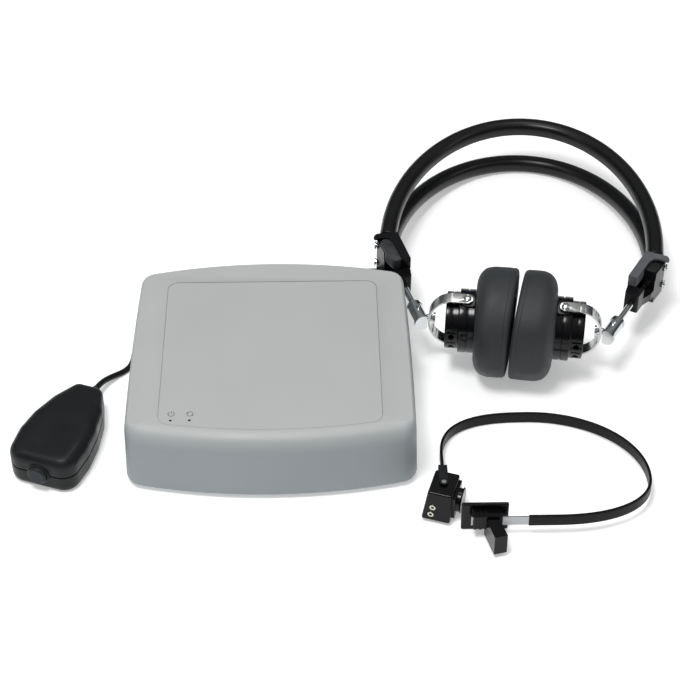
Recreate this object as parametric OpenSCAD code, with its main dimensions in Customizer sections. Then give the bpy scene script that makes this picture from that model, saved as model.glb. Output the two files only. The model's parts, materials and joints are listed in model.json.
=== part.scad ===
// A desk-top screening audiometer laid out as a set: the console, a hand-held response switch on
// its cord, a double-band headset and a bone vibrator on its steel hoop. Millimetres, Z up.
// The origin is the centre of the console's footprint on the table.

/* [Console case] */
// Width across the front corners
con_w = 164; // [150:1:180]
// Width across the back corners
con_wb = 158; // [150:1:180]
// Depth between the corners, without the bowed edges
con_d = 140; // [128:1:150]
// How far the front edge bows out
crown_f = 8; // [5:0.5:10]
// How far the back edge bows out
crown_b = 8; // [5:0.5:10]
// How far each side bows out
side_bow = 0.8; // [0.6:0.1:2]
// Corner radius in plan
corner_r = 11; // [8.5:0.5:14]
// Height of the flat top above the table
con_h = 44.5; // [42:0.5:48]
// Height of the case's lower edge above the table
con_lift = 3; // [2.5:0.1:4]
// How far in the roll of the sides and back reaches on top
roll_side = 3; // [2:0.1:4]
// How far in the roll of the front reaches on top
roll_front = 8.2; // [7:0.1:9]
// Wall thickness of the top cover
wall = 2.5; // [2:0.1:3]
// Gap between the base and the skirt of the cover
base_gap = 0.3; // [0.2:0.05:0.5]
// Thickness of the base plate
base_t = 2.6; // [2.2:0.1:3.2]
// Height of the upstanding rim of the base
rim_h = 5; // [4:0.5:7]

/* [Top panel] */
// Half width of the inset panel
panel_hw = 62; // [58:0.5:62]
// Front edge of the panel
panel_front = -62.3; // [-62.4:0.1:-61]
// Bow of the panel's front edge
panel_bow = 4.8; // [4:0.1:5]
// Back edge of the panel
panel_back = 58; // [50:0.5:58]
// Corner radius of the panel
panel_r = 6; // [4:0.5:9]
// Thickness of the panel
panel_t = 1; // [0.8:0.1:1.2]
// Width of the groove round the panel
groove = 0.7; // [0.4:0.1:1]
// Lift of the panel off the floor of its pocket
panel_down = 0.1; // [0.05:0.05:0.2]

/* [Indicator lights] */
// X of the power light
power_x = -55; // [-57:0.5:-52]
// X of the activity light
status_x = -44.5; // [-48:0.5:-42]
// Y of both lights
light_y = -59.4; // [-59.8:0.1:-58]
// Radius of the visible end of a light guide
light_r = 1; // [0.8:0.1:1.4]
// Radius of the collar under the cover
light_collar_r = 2.4; // [2:0.1:3]
// Clearance round a light guide
light_gap = 0.1; // [0.05:0.05:0.2]
// Distance from the guide to the lamp under it
light_stand = 0.8; // [0.5:0.1:1.5]

/* [Circuit board] */
// Half width of the main board
board_hw = 59; // [54:0.5:59]
// Front edge of the main board
board_front = -62; // [-62.5:0.1:-61.5]
// Back edge of the main board
board_back = 64.5; // [62:0.5:65]
// Thickness of the main board
board_t = 1.6; // [1.2:0.1:2]
// Height of the standoffs above the base plate
standoff_h = 4.4; // [3.5:0.1:5]
// Radius of a standoff
standoff_r = 3; // [2.6:0.1:3.5]
// X of the board screws
board_screw_x = 50; // [44:0.5:52]
// Y of the front board screws
board_screw_f = -40; // [-46:0.5:-36]
// Y of the back board screws
board_screw_b = 32; // [26:0.5:34]
// Side of the processor
chip_a = 22; // [16:0.5:24]
// Height of the processor
chip_h = 2.2; // [1.6:0.1:3]
// Diameter of the electrolytic capacitors
cap_d = 8; // [6:0.5:9]
// Height of the electrolytic capacitors
cap_h = 11; // [8:0.5:14]
// Height of the transformer
trafo_h = 14; // [10:0.5:16]

/* [Rear sockets] */
// Outer face of the rear panel
rear_y = 67.5; // [66.5:0.1:67.8]
// Thickness of the rear panel
rear_t = 2; // [1.6:0.1:2.4]
// Half width of the rear panel
rear_hw = 60; // [58:0.5:60]
// Top of the rear panel
rear_top = 34; // [32:0.5:35]
// Half width of the opening in the cover
window_hw = 57; // [55:0.5:57]
// Bottom of the opening in the cover
window_z0 = 9; // [8.5:0.1:10]
// Top of the opening in the cover
window_z1 = 30.5; // [29.5:0.5:32]
// Height of the socket axes
jack_z = 20; // [19.5:0.5:20.5]
// Spacing of the sockets
jack_pitch = 24; // [22:0.5:25]
// X of the response socket
jack_x0 = -48; // [-48:0.5:-46]
// Radius of a socket's bore, for a 6.35 mm plug
jack_bore_r = 3.25; // [3.22:0.01:3.3]
// Depth of a socket's bore
jack_depth = 31; // [30:0.5:32]
// Width of a socket's housing
jack_w = 13; // [12:0.5:14]
// Radius of a socket's threaded neck
jack_neck_r = 4.5; // [4.3:0.1:4.8]
// How far the neck stands past the panel
jack_neck = 4; // [3.5:0.1:4.5]
// Clearance of a neck in the panel
jack_gap = 0.1; // [0.05:0.05:0.2]
// Radius of a ring nut
nut_r = 6.5; // [6:0.1:7]
// Thickness of a ring nut
nut_t = 2; // [1.6:0.1:2.4]
// X of the computer socket
usb_x = 48; // [46:0.5:49]
// Width of the computer socket
usb_w = 12; // [11.5:0.1:12.5]
// Height of the computer socket
usb_h = 11; // [10.5:0.1:11.5]
// Wall of the computer socket
usb_wall = 1; // [0.8:0.1:1.2]

/* [Feet and screws] */
// Radius of a foot
foot_r = 6.2; // [5:0.1:7]
// Depth of a foot's seat in the base
foot_seat = 1.2; // [1:0.1:1.4]
// X of the feet
foot_x = 52; // [48:0.5:54]
// Y of the feet
foot_y = 46; // [42:0.5:48]
// X of the front case screws
case_screw_x = 67; // [66.5:0.1:67.5]
// Y of the front case screws
case_screw_y = 54; // [52:0.5:55]
// Radius of the case screws' shanks
case_screw_r = 1.4; // [1.3:0.05:1.5]
// Radius of the case screws' heads
case_head_r = 2.9; // [2.7:0.1:3]
// Thickness of the case screws' heads
case_head_t = 1.8; // [1.5:0.1:2]
// Length of the case screws' shanks
case_screw_l = 20; // [16:0.5:22]
// Radius of a screw column
column_r = 4.4; // [4.2:0.1:4.6]
// Clearance round a screw
screw_gap = 0.1; // [0.05:0.05:0.2]

/* [Response switch] */
// X of the middle of its front face
hand_x = -130.2; // [-134:0.1:-126]
// Y of the middle of its front face
hand_y = -67.2; // [-72:0.1:-62]
// Turn about Z
hand_turn = -19.6; // [-26:0.1:-16]
// Half width at the widest place
hand_hw = 21.5; // [20:0.1:22.5]
// Where it is widest, from the front face
hand_wide = 21; // [19:0.5:26]
// Overall length
hand_l = 70; // [68:0.5:76]
// Half width at the tail
hand_tail = 10; // [9:0.1:11]
// Height at the widest place
hand_h = 24.5; // [23.5:0.1:26]
// Height at the front
hand_hf = 23; // [22.5:0.1:24]
// Height at the tail
hand_ht = 19.5; // [18.5:0.1:21]
// Height of the parting line
hand_part = 12; // [11.5:0.1:12.5]
// Width of the parting groove
hand_groove = 0.6; // [0.4:0.1:0.8]
// Wall thickness
hand_wall = 2.2; // [1.8:0.1:2.5]
// Radius of the upper edges
hand_edge = 6; // [5:0.1:6.5]
// Radius of the lower edges
hand_edge_low = 4; // [3:0.1:4.4]
// Radius of the button
button_r = 5.6; // [5:0.1:5.8]
// How far the button stands out
button_out = 3; // [2.6:0.1:3.4]
// Travel of the button
button_travel = 2; // [1.6:0.1:2.2]
// Clearance of the button in its ring
button_gap = 0.2; // [0.1:0.05:0.3]
// Width of the ring round the button
ring_w = 1; // [0.8:0.1:1.2]
// Radius of the button's retaining flange
button_flange_r = 7; // [6.8:0.1:7.4]
// Height of the cord's exit
hand_exit_z = 8; // [7.5:0.5:10.5]
// Length of the strain relief outside
relief_l = 7; // [5:0.5:9]
// Radius of the strain relief
relief_r = 3; // [2.6:0.1:3.3]
// Radius of the handset's screws
hand_screw_r = 1.2; // [1.1:0.05:1.3]

/* [Response cord] */
// Diameter of the cord
cord_d = 3.6; // [3.4:0.1:3.8]
// Straight length of the hank's runs
hank_run = 60; // [54:1:66]
// Inner radius of the hank's folds
hank_ri = 9; // [8.6:0.1:10]
// Turns side by side in the hank
hank_side = 2; // [2:1:2]
// Turns on top of each other in the hank
hank_high = 3; // [3:1:3]
// X of the hank's middle
hank_x = 34; // [30:0.5:40]
// Y of the hank's middle
hank_y = 95; // [94.5:0.5:96]
// Width of the tie round the hank
tie_w = 8; // [6:0.5:10]
// Thickness of the tie
tie_t = 0.7; // [0.6:0.1:0.8]
// Radius of the plug's pin
plug_pin_r = 3.1; // [3.05:0.01:3.15]
// Length of the plug's pin
plug_pin_l = 30; // [29:0.5:30.5]
// Radius of the plug's elbow
plug_r = 5.5; // [5:0.1:6]
// How far the elbow's leg drops below level
plug_drop = 35; // [30:1:40]
// Length of the plug's strain relief
plug_relief_l = 14; // [12:0.5:16]

/* [Headset: place and bands] */
// X of the middle between the earphones
head_x = 143.5; // [138:0.1:145]
// Y of the middle between the earphones
head_y = 30; // [27:0.1:33]
// Turn about Z
head_turn = -8; // [-10:0.1:-6]
// Half width of the bands' centreline
band_a = 82.6; // [80:0.1:84]
// Crown of the bands, from the earphone axis
band_crown = 200; // [190:0.5:205]
// Where the sides of the bands turn straight
band_straight = 78; // [76:0.5:84]
// Width of a band sleeve
sleeve_w = 10.8; // [10:0.1:11.4]
// Height of a band sleeve
sleeve_h = 11; // [10:0.1:11]
// Thickness of a spring strip
spring_t = 1; // [0.8:0.1:1.2]
// Height of a spring strip
spring_h = 7; // [6.5:0.1:7.2]
// Clearance of a strip in its sleeve
spring_gap = 0.15; // [0.1:0.05:0.25]
// Height of each band's pivot above or below the rods
fan_z = 6.3; // [6.3:0.1:6.8]
// Where the bands pivot in the slide blocks
fan_y = 60; // [59:0.5:61]
// How far the upper band leans up out of the rods' plane
fan_up = 2.6; // [2.4:0.1:4]
// How far the lower band leans down out of the rods' plane
fan_down = 4.2; // [3.9:0.1:5]
// How far the upper band closes onto the lower one
fan_close = 6; // [4:0.5:6]
// How far the upper band opens
fan_open = 12; // [8:0.5:15]
// Radius of a band rivet
rivet_r = 1.5; // [1.3:0.05:1.6]
// Clearance in a band's pivot hole
rivet_gap = 0.1; // [0.05:0.05:0.2]

/* [Headset: slide blocks and rods] */
// Angle of the rods from the headset's middle line
rod_lean = 22.7; // [20:0.1:25]
// X of the bushes
bush_x = 56.4; // [55:0.1:58]
// Radius of a rod
rod_r = 1.9; // [1.7:0.05:2]
// Clearance of a rod in its slide block
rod_gap = 0.1; // [0.05:0.01:0.15]
// Top end of a rod, from its bush
rod_top = 54; // [50:0.5:56]
// Travel of a rod into its slide block
rod_travel = 12; // [8:0.5:14]
// Foot end of a slide block, from the bush
block_foot = 32; // [31:0.5:34]
// Top end of a slide block, from the bush
block_top = 71; // [69:0.5:72]
// Half height of a slide block
block_hz = 11; // [10.8:0.1:12]
// Radius of a bush
bush_r = 4.2; // [4:0.1:4.6]
// Length of a bush above its stud
bush_up = 11; // [9:0.5:12]
// Length of a bush below its stud
bush_down = 6.5; // [6:0.5:8]
// Radius of the stud that carries the yoke
stud_r = 2; // [1.8:0.05:2.2]
// Clearance of the stud in the yoke
stud_gap = 0.1; // [0.05:0.05:0.2]

/* [Headset: yokes and earphones] */
// Turn of the yokes about their studs, as laid down
yoke_turn = 16; // [0:1:25]
// How far a yoke swings on its stud
yoke_swing = 30; // [10:1:40]
// Thickness of the yoke strip
yoke_t = 1.2; // [1:0.1:1.4]
// Width of the yoke strip
yoke_w = 6.5; // [6:0.1:7]
// Distance of the yoke's pivots from the middle
pivot_x = 28.6; // [28.4:0.1:29]
// Radius of a pivot screw
pivot_r = 1.5; // [1.3:0.05:1.6]
// Clearance in a yoke's pivot hole
pivot_gap = 0.1; // [0.05:0.05:0.2]
// Half gap between the cushions at their axis
cush_half = 1.7; // [1.5:0.1:2.2]
// Turn of each earphone about its pivots, as laid down
toe = 1; // [0:0.1:1.2]
// Radius of a cushion, which is also the height of the earphone axis
cush_r = 33; // [32:0.1:34]
// Thickness of a cushion
cush_t = 22; // [21:0.1:22.5]
// Radius of a cushion's opening
cush_bore = 12; // [10:0.5:14]
// Radius of the cushion's edge at the ear
cush_edge = 4; // [3:0.1:6]
// Radius of the cushion's edge at the back
cush_back = 10; // [8:0.5:11]
// Radius of the earphone's front flange
flange_r = 21; // [20.5:0.1:21.5]
// Thickness of the earphone's front flange
flange_t = 5; // [4:0.1:6]
// Radius of the earphone's body
case_r = 19; // [18.5:0.1:19.2]
// Radius of the earphone's cap
cap_r = 17; // [16.5:0.1:17.5]
// Where the body steps down to the cap
case_step = 33; // [32.8:0.1:34]
// Back face of the cap
case_back = 40.8; // [40:0.1:42]
// Radius of a pin socket
pin_r = 1.8; // [1.6:0.1:2]
// Distance between the pin sockets
pin_pitch = 9; // [8:0.1:10]

/* [Bone vibrator: hoop] */
// Crown of the hoop: X
hoop_x = 148; // [145:0.5:151]
// Crown of the hoop: Y
hoop_back = -18.4; // [-20:0.1:-13]
// Right-hand end of the hoop
hoop_right = 211.5; // [207:0.5:214]
// Left-hand end of the hoop
hoop_left = 96; // [95:0.5:97]
// Y of the hoop's widest place on the right
hoop_mid = -72; // [-75:0.5:-69]
// Y of the hoop's straight front run
hoop_front = -106; // [-108:0.1:-105]
// Height of the strip's middle at the front run
bone_z = 10.9; // [10.8:0.1:11.4]
// How far the hoop tips down to its crown
bone_tip = 4.7; // [4.5:0.1:4.8]
// Height of the steel strip
strip_h = 6; // [5.5:0.1:6]
// Thickness of the steel strip
strip_t = 0.8; // [0.6:0.1:1]
// Wall of the black sleeve over the strip
strip_sleeve = 0.45; // [0.3:0.05:0.45]
// Where the sleeve ends on the front run
sleeve_end = 140.5; // [139:0.5:146]

/* [Bone vibrator: transducer] */
// X of the vibrator's pivots
vib_x = 95; // [94.5:0.1:95.5]
// Y of the vibrator's pivots
vib_y = -86.4; // [-87:0.1:-86]
// Height of the vibrator's middle
vib_z = 11; // [11:0.1:11.2]
// Turn about Z, as laid down
vib_turn = -18; // [-20:0.5:-16]
// Width of the vibrator's case
vib_w = 14; // [13:0.1:15]
// Depth of the vibrator's case
vib_l = 18.6; // [18:0.1:19]
// Height of the vibrator's case
vib_h = 18.6; // [18:0.1:19]
// Radius of the contact face
face_r = 7.5; // [7:0.1:8]
// How far the contact face stands out
face_out = 4.5; // [4:0.1:5]
// How far its case spreads at the foot
vib_flare = 3; // [0:0.1:3.5]
// How far the vibrator tips in its fork
vib_tip = 15; // [5:1:15]
// Thickness of the fork
fork_t = 1; // [0.9:0.1:1.1]
// Width of the fork
fork_w = 5; // [4.6:0.1:6]
// Gap between fork and vibrator
fork_gap = 0.3; // [0.2:0.05:0.4]
// Radius of the fork's pivot pins
vib_pin_r = 1.3; // [1.1:0.05:1.4]
// Radius of the lead sockets' rings
lead_ring_r = 1.7; // [1.5:0.1:1.9]
// Distance between the lead sockets
lead_pitch = 4.8; // [4.6:0.1:5.2]

/* [Bone vibrator: temple pad] */
// X of the middle of the pad
pad_x = 117; // [116.5:0.1:118]
// Width of the pad
pad_w = 26; // [24:0.5:27]
// Height of the pad
pad_h = 18.6; // [17:0.1:19]
// Thickness of the pad
pad_t = 2.6; // [2.2:0.1:3]
// How far the pad's middle is below the strip
pad_drop = 1.4; // [1.2:0.1:1.5]
// Width of the finger bar
bar_w = 7.4; // [7:0.1:8]
// Length of the finger bar
bar_l = 15; // [13:0.5:17]
// Height of the finger bar
bar_h = 12.5; // [12:0.1:13]
// Turn of the finger bar
bar_turn = 14; // [10:1:18]
// Clearance of the strip in the pad's slot
pad_gap = 0.15; // [0.1:0.05:0.2]
// Travel of the pad along the strip towards the sleeve
pad_travel = 7; // [5:0.5:8]

/* [Hidden] */

// ---- the console's outline: five arcs on each half, offset by an inset ----
pfx = con_w / 2 - corner_r;
pbx = con_wb / 2 - corner_r;
pfy = -(con_d / 2 - corner_r);
pby = con_d / 2 - corner_r;
yf = (pfx * pfx / crown_f - con_d + 2 * corner_r - crown_f) / 2;
yb = (pbx * pbx / crown_b - con_d + 2 * corner_r - crown_b) / 2;
rf = yf + con_d / 2 + crown_f;
rb = yb + con_d / 2 + crown_b;
chord = norm([pfx - pbx, pfy - pby]);
rside = (chord * chord / 4 + side_bow * side_bow) / (2 * side_bow);
sdir = [(pby - pfy) / chord, (pfx - pbx) / chord];
csx = (pfx + pbx) / 2 - sdir[0] * (rside - side_bow);
csy = (pfy + pby) / 2 - sdir[1] * (rside - side_bow);
af = atan2(pfy - yf, pfx);
as0 = atan2(pfy - csy, pfx - csx);
as1 = atan2(pby - csy, pbx - csx);
ab = atan2(pby + yb, pbx);

// inset g at the sides and back, f at the front
function soft(a, g, f) = g + (f - g) * pow(max(0, -sin(a)), 2);
function arc(c, r, a0, a1, n, g, s, first = 1) = [for (i = [first:n])
  let (a = a0 + (a1 - a0) * i / n, q = r - soft(a, g, s)) [c[0] + q * cos(a), c[1] + q * sin(a)]];
function right_half(g, s) = concat(
  arc([0, yf], rf, -90, af, 6, g, s, 0),
  arc([pfx, pfy], corner_r, af, as0, 6, g, s),
  arc([csx, csy], rside + corner_r, as0, as1, 6, g, s),
  arc([pbx, pby], corner_r, as1, ab, 6, g, s),
  arc([0, -yb], rb, ab, 90, 6, g, s));
function outline(g, f, z) = let (h = right_half(g, f), n = len(h))
  concat([for (p = h) [p[0], p[1], z]], [for (i = [n - 2:-1:1]) [-h[i][0], h[i][1], z]]);

// ---- solids from rings of points ----
function side_faces(n, m, k = 0) = [for (j = [0:m - 2]) for (i = [0:n - 1])
  let (a = k + j * n + i, b = k + j * n + (i + 1) % n, c = b + n, d = a + n)
  for (f = [[a, d, c], [a, c, b]]) f];
function flip(fs) = [for (f = fs) [for (i = [len(f) - 1:-1:0]) f[i]]];
module loft(rings) {
  n = len(rings[0]);
  m = len(rings);
  polyhedron(points = [for (r = rings) for (p = r) p],
    faces = concat([[for (i = [0:n - 1]) i]], side_faces(n, m),
      [[for (i = [n - 1:-1:0]) (m - 1) * n + i]]), convexity = 6);
}
module loft_tube(outer, inner) {
  n = len(outer[0]);
  m = len(outer);
  k = n * m;
  polyhedron(points = concat([for (r = outer) for (p = r) p], [for (r = inner) for (p = r) p]),
    faces = concat(side_faces(n, m), flip(side_faces(n, m, k)),
      [for (i = [0:n - 1]) let (j = (i + 1) % n) [i, j, k + j, k + i]],
      flip([for (i = [0:n - 1]) let (j = (i + 1) % n, t = (m - 1) * n)
        [t + i, t + j, k + t + j, k + t + i]])), convexity = 6);
}
// unit left normals along a flat path
function way(p, i) = let (a = p[max(i - 1, 0)], b = p[min(i + 1, len(p) - 1)], d = b - a)
  [d[0], d[1]] / norm([d[0], d[1]]);
function ring_at(p, i, sec) = let (t = way(p, i)) [for (q = sec)
  [p[i][0] - t[1] * q[0], p[i][1] + t[0] * q[0], q[1]]];
function rings_on(p, sec) = [for (i = [0:len(p) - 1]) ring_at(p, i, sec)];
function super(a, b, n, k) = [for (i = [0:k - 1]) let (t = 360 * (i + 0.5) / k)
  [a * sign(cos(t)) * pow(abs(cos(t)), 2 / n), b * sign(sin(t)) * pow(abs(sin(t)), 2 / n)]];
// smooth line through hand-placed points
function cr(a, b, c, d, t) = 0.5 * (2 * b + (c - a) * t + (2 * a - 5 * b + 4 * c - d) * t * t
  + (3 * b - a - 3 * c + d) * t * t * t);
function smooth(p, k) = let (n = len(p)) concat([for (i = [0:n - 2]) for (j = [0:k - 1])
  cr(p[max(i - 1, 0)], p[i], p[i + 1], p[min(i + 2, n - 1)], j / k)], [p[n - 1]]);
module tube3(p, r, sides = 8) {
  n = len(p);
  d = [for (i = [0:n - 1]) let (v = p[min(i + 1, n - 1)] - p[max(i - 1, 0)]) v / norm(v)];
  loft([for (i = [0:n - 1]) let (u0 = cross([0, 0, 1], d[i]), u = u0 / norm(u0), v = cross(d[i], u))
    [for (j = [0:sides - 1]) p[i] + r * (u * cos(360 * j / sides) + v * sin(360 * j / sides))]]);
}
module rod_x(r, x0, x1, fn = 48) {
  translate([x0, 0, 0])
    rotate([0, 90, 0])
      cylinder(r = r, h = x1 - x0, $fn = fn);
}
module rod_y(r, y0, y1, fn = 48) {
  translate([0, y0, 0])
    rotate([-90, 0, 0])
      cylinder(r = r, h = y1 - y0, $fn = fn);
}
module rod_z(r, z0, z1, fn = 48) {
  translate([0, 0, z0])
    cylinder(r = r, h = z1 - z0, $fn = fn);
}
module box(a, b) {
  translate(a)
    cube(b - a);
}

// ---- console ----
base_z0 = con_lift + 0.2;
base_z1 = base_z0 + base_t;
board_z0 = base_z1 + standoff_h;
board_z1 = board_z0 + board_t;
con_top_in = con_h - wall;
pocket_z = con_h - panel_t - panel_down;
back_screw_x = case_screw_x - 3;
screw_at = [[-case_screw_x, -case_screw_y], [case_screw_x, -case_screw_y],
  [-back_screw_x, case_screw_y], [back_screw_x, case_screw_y]];
// four feet at the corners, and one under the middle against sagging
foot_at = [[-foot_x, -foot_y], [foot_x, -foot_y], [-foot_x, foot_y], [foot_x, foot_y], [0, 0]];
board_screw_at = [[-board_screw_x, board_screw_f], [board_screw_x, board_screw_f],
  [-board_screw_x, board_screw_b], [board_screw_x, board_screw_b]];
jack_xs = [jack_x0, jack_x0 + jack_pitch, jack_x0 + 2 * jack_pitch, jack_x0 + 3 * jack_pitch];

skirt = wall + base_gap;
// the panel: a bowed front edge, round corners, straight sides and back, grown by g
pcx = panel_hw - panel_r;
pcy = panel_front + panel_r;
pyf = pcy + (pcx * pcx - panel_bow * panel_bow) / (2 * panel_bow);
paf = atan2(pcy - pyf, pcx);
function panel_half(g) = concat(
  arc([0, pyf], pyf - panel_front + panel_bow + g, -90, paf, 6, 0, 0, 0),
  arc([pcx, pcy], panel_r + g, paf, 0, 6, 0, 0),
  arc([pcx, panel_back - panel_r], panel_r + g, 0, 90, 6, 0, 0, 0));
module panel_outline(g) {
  h = panel_half(g);
  polygon(concat(h, [for (i = [len(h) - 1:-1:1]) [-h[i][0], h[i][1]]]));
}
module top_cover() {
  color("#B4B6B8")
    difference() {
      union() {
        difference() {
          loft([outline(1.4, 1.6, con_lift), outline(0.5, 0.6, con_lift + 1.2),
            outline(0.1, 0.1, con_lift + 5), outline(0, 0, con_h - 20),
            outline(0, roll_front * 0.04, con_h - 12), outline(roll_side * 0.02, roll_front * 0.1, con_h - 8),
            outline(roll_side * 0.08, roll_front * 0.2, con_h - 5),
            outline(roll_side * 0.22, roll_front * 0.38, con_h - 2.5),
            outline(roll_side * 0.5, roll_front * 0.64, con_h - 0.9),
            outline(roll_side * 1.1, roll_front * 1.08, con_h + 0.2)]);
          loft([outline(wall, wall, con_lift - 1), outline(wall, wall + 0.2, con_h - 14),
            outline(wall + 0.3, wall + 1.6, con_h - 7), outline(wall + 1.2, wall + 4.2, con_h - 3.6),
            outline(wall + 2.5, wall + 7, con_top_in)]);
        }
        for (p = screw_at)
          translate(p)
            rod_z(column_r, base_z1 + 8.4, con_top_in + 0.3);
      }
      for (p = screw_at)
        translate(p)
          rod_z(case_screw_r + screw_gap / 2, base_z1 + 8, base_z1 + case_screw_l + 2);
      box([-100, -100, con_h], [100, 100, con_h + 5]);
      box([-window_hw, 60, window_z0], [window_hw, 90, window_z1]);
      translate([0, 0, pocket_z])
        linear_extrude(height = 5)
          panel_outline(groove);
      for (x = [power_x, status_x])
        translate([x, light_y, 0])
          rod_z(light_r + light_gap, con_h - 8, con_h + 1);
    }
}
module base_tray() {
  color("#9EA2A5")
    difference() {
      union() {
        difference() {
          loft([outline(skirt, skirt, base_z0), outline(skirt, skirt, base_z1 + rim_h)]);
          loft([outline(skirt + 2, skirt + 2, base_z1), outline(skirt + 2, skirt + 2, base_z1 + rim_h + 1)]);
        }
        for (p = screw_at)
          translate(p)
            rod_z(column_r, base_z1 - 0.5, base_z1 + 8);
        for (p = board_screw_at)
          translate(p)
            rod_z(standoff_r, base_z1 - 0.5, board_z0);
      }
      for (p = screw_at)
        translate(p) {
          rod_z(case_head_r + 2 * screw_gap, base_z0 - 1, base_z1 - 0.6);
          rod_z(case_screw_r + screw_gap, base_z0 - 1, base_z1 + 9);
        }
      for (p = board_screw_at)
        translate(p)
          rod_z(1.25, base_z1 - 1, board_z0 + 1, 32);
      for (p = foot_at)
        translate(p)
          rod_z(foot_r, base_z0 - 1, base_z0 + foot_seat);
      for (i = [-3:3])
        translate([i * 7, 0, 0])
          box([-1.2, 13, base_z0 - 1], [1.2, 41, base_z1 + 1]);
    }
}
module rear_panel() {
  color("#8C9195")
    difference() {
      box([-rear_hw, rear_y - rear_t, base_z1], [rear_hw, rear_y, rear_top]);
      for (x = jack_xs)
        translate([x, 0, jack_z])
          rod_y(jack_neck_r + jack_gap, rear_y - 5, rear_y + 5);
      box([usb_x - usb_w / 2 - 0.3, rear_y - 5, board_z1 - 0.3],
        [usb_x + usb_w / 2 + 0.3, rear_y + 5, board_z1 + usb_h + 0.3]);
      box([-rear_hw - 1, rear_y - 5, base_z1 - 1], [-rear_hw + 3, rear_y + 5, base_z1 + rim_h + 0.5]);
      box([rear_hw - 3, rear_y - 5, base_z1 - 1], [rear_hw + 1, rear_y + 5, base_z1 + rim_h + 0.5]);
    }
}
module top_panel() {
  color("#B9BBBC")
    difference() {
      translate([0, 0, pocket_z])
        linear_extrude(height = panel_t + panel_down)
          panel_outline(0);
      for (x = [power_x, status_x])
        translate([x, light_y, 0])
          rod_z(light_r + light_gap, con_h - 8, con_h + 1);
    }
}
module light_guide(x) {
  color("#3A3D40")
    translate([x, light_y, 0]) {
      rod_z(light_r, con_h - 10, con_h);
      rod_z(light_collar_r, con_h - 12.5, con_h - 10);
      rod_z(light_r, board_z1 + 1.4 + light_stand, con_h - 12.5);
    }
}
module power_light() {
  light_guide(power_x);
}
module status_light() {
  light_guide(status_x);
}
module main_board() {
  color("#1F6B3A")
    difference() {
      box([-board_hw, board_front, board_z0], [board_hw, board_back, board_z1]);
      for (p = board_screw_at)
        translate(p)
          rod_z(1.35, board_z0 - 1, board_z1 + 1, 32);
    }
}
module board_parts() {
  color("#1B1C1E") {
    box([-chip_a / 2 - 8, -chip_a / 2 - 10, board_z1], [chip_a / 2 - 8, chip_a / 2 - 10, board_z1 + chip_h]);
    box([16, -34, board_z1], [30, -16, board_z1 + chip_h]);
    box([24, -6, board_z1], [46, 12, board_z1 + trafo_h]);
    for (x = [power_x, status_x])
      box([x - 1.6, light_y - 0.9, board_z1], [x + 1.6, light_y + 0.9, board_z1 + 1.4]);
  }
  color("#23408A")
    for (i = [0:3])
      translate([-46 + i * 12, 20, board_z1])
        rod_z(cap_d / 2, 0, cap_h);
}
module jack(x) {
  color("#17181A")
    translate([x, 0, jack_z])
      difference() {
        union() {
          box([-jack_w / 2, rear_y - rear_t - 27.5, board_z1 - jack_z],
            [jack_w / 2, rear_y - rear_t, 2 * jack_z - board_z1 - jack_z]);
          rod_y(jack_neck_r, rear_y - rear_t - 1, rear_y + jack_neck);
        }
        rod_y(jack_bore_r, rear_y + jack_neck - jack_depth, rear_y + jack_neck + 1);
      }
}
module jack_response() {
  jack(jack_xs[0]);
}
module jack_bone() {
  jack(jack_xs[1]);
}
module jack_left() {
  jack(jack_xs[2]);
}
module jack_right() {
  jack(jack_xs[3]);
}
module jack_nuts() {
  color("#C9CCCE")
    for (x = jack_xs)
      translate([x, 0, jack_z])
        difference() {
          rod_y(nut_r, rear_y, rear_y + nut_t);
          rod_y(jack_neck_r + 0.05, rear_y - 1, rear_y + nut_t + 1);
          for (a = [0:60:300])
            rotate([0, a, 0])
              box([-0.6, rear_y - 1, nut_r - 0.8], [0.6, rear_y + nut_t + 1, nut_r + 1]);
        }
}
module usb_socket() {
  color("#C6C9CC")
    difference() {
      box([usb_x - usb_w / 2, rear_y - 16, board_z1], [usb_x + usb_w / 2, rear_y + 0.5, board_z1 + usb_h]);
      box([usb_x - usb_w / 2 + usb_wall, rear_y - 9, board_z1 + usb_wall],
        [usb_x + usb_w / 2 - usb_wall, rear_y + 2, board_z1 + usb_h - usb_wall]);
    }
  color("#EDEDE8")
    box([usb_x - 2.8, rear_y - 10, board_z1 + usb_h / 2 - 1.6],
      [usb_x + 2.8, rear_y - 1, board_z1 + usb_h / 2 + 1.6]);
}
module console_feet() {
  color("#2A2B2D")
    for (p = foot_at)
      translate(p) {
        cylinder(r1 = foot_r - 0.9, r2 = foot_r, h = 0.9, $fn = 48);
        rod_z(foot_r, 0.9, base_z0 + foot_seat);
      }
}
module case_screws() {
  color("#B8BBBE")
    for (p = screw_at)
      translate(p)
        difference() {
          union() {
            rod_z(case_head_r, base_z1 - 0.6 - case_head_t, base_z1 - 0.6);
            rod_z(case_screw_r, base_z1 - 1, base_z1 + case_screw_l);
          }
          for (a = [0, 90])
            rotate([0, 0, a])
              box([-2, -0.4, 0], [2, 0.4, base_z1 - case_head_t + 0.4]);
        }
}
module board_screws() {
  color("#B8BBBE")
    for (p = board_screw_at)
      translate(p)
        difference() {
          union() {
            rod_z(2.4, board_z1, board_z1 + 1.4, 32);
            rod_z(1.2, base_z1 - 0.5, board_z1 + 0.5, 32);
          }
          box([-2, -0.35, board_z1 + 0.7], [2, 0.35, board_z1 + 3]);
        }
}

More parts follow.
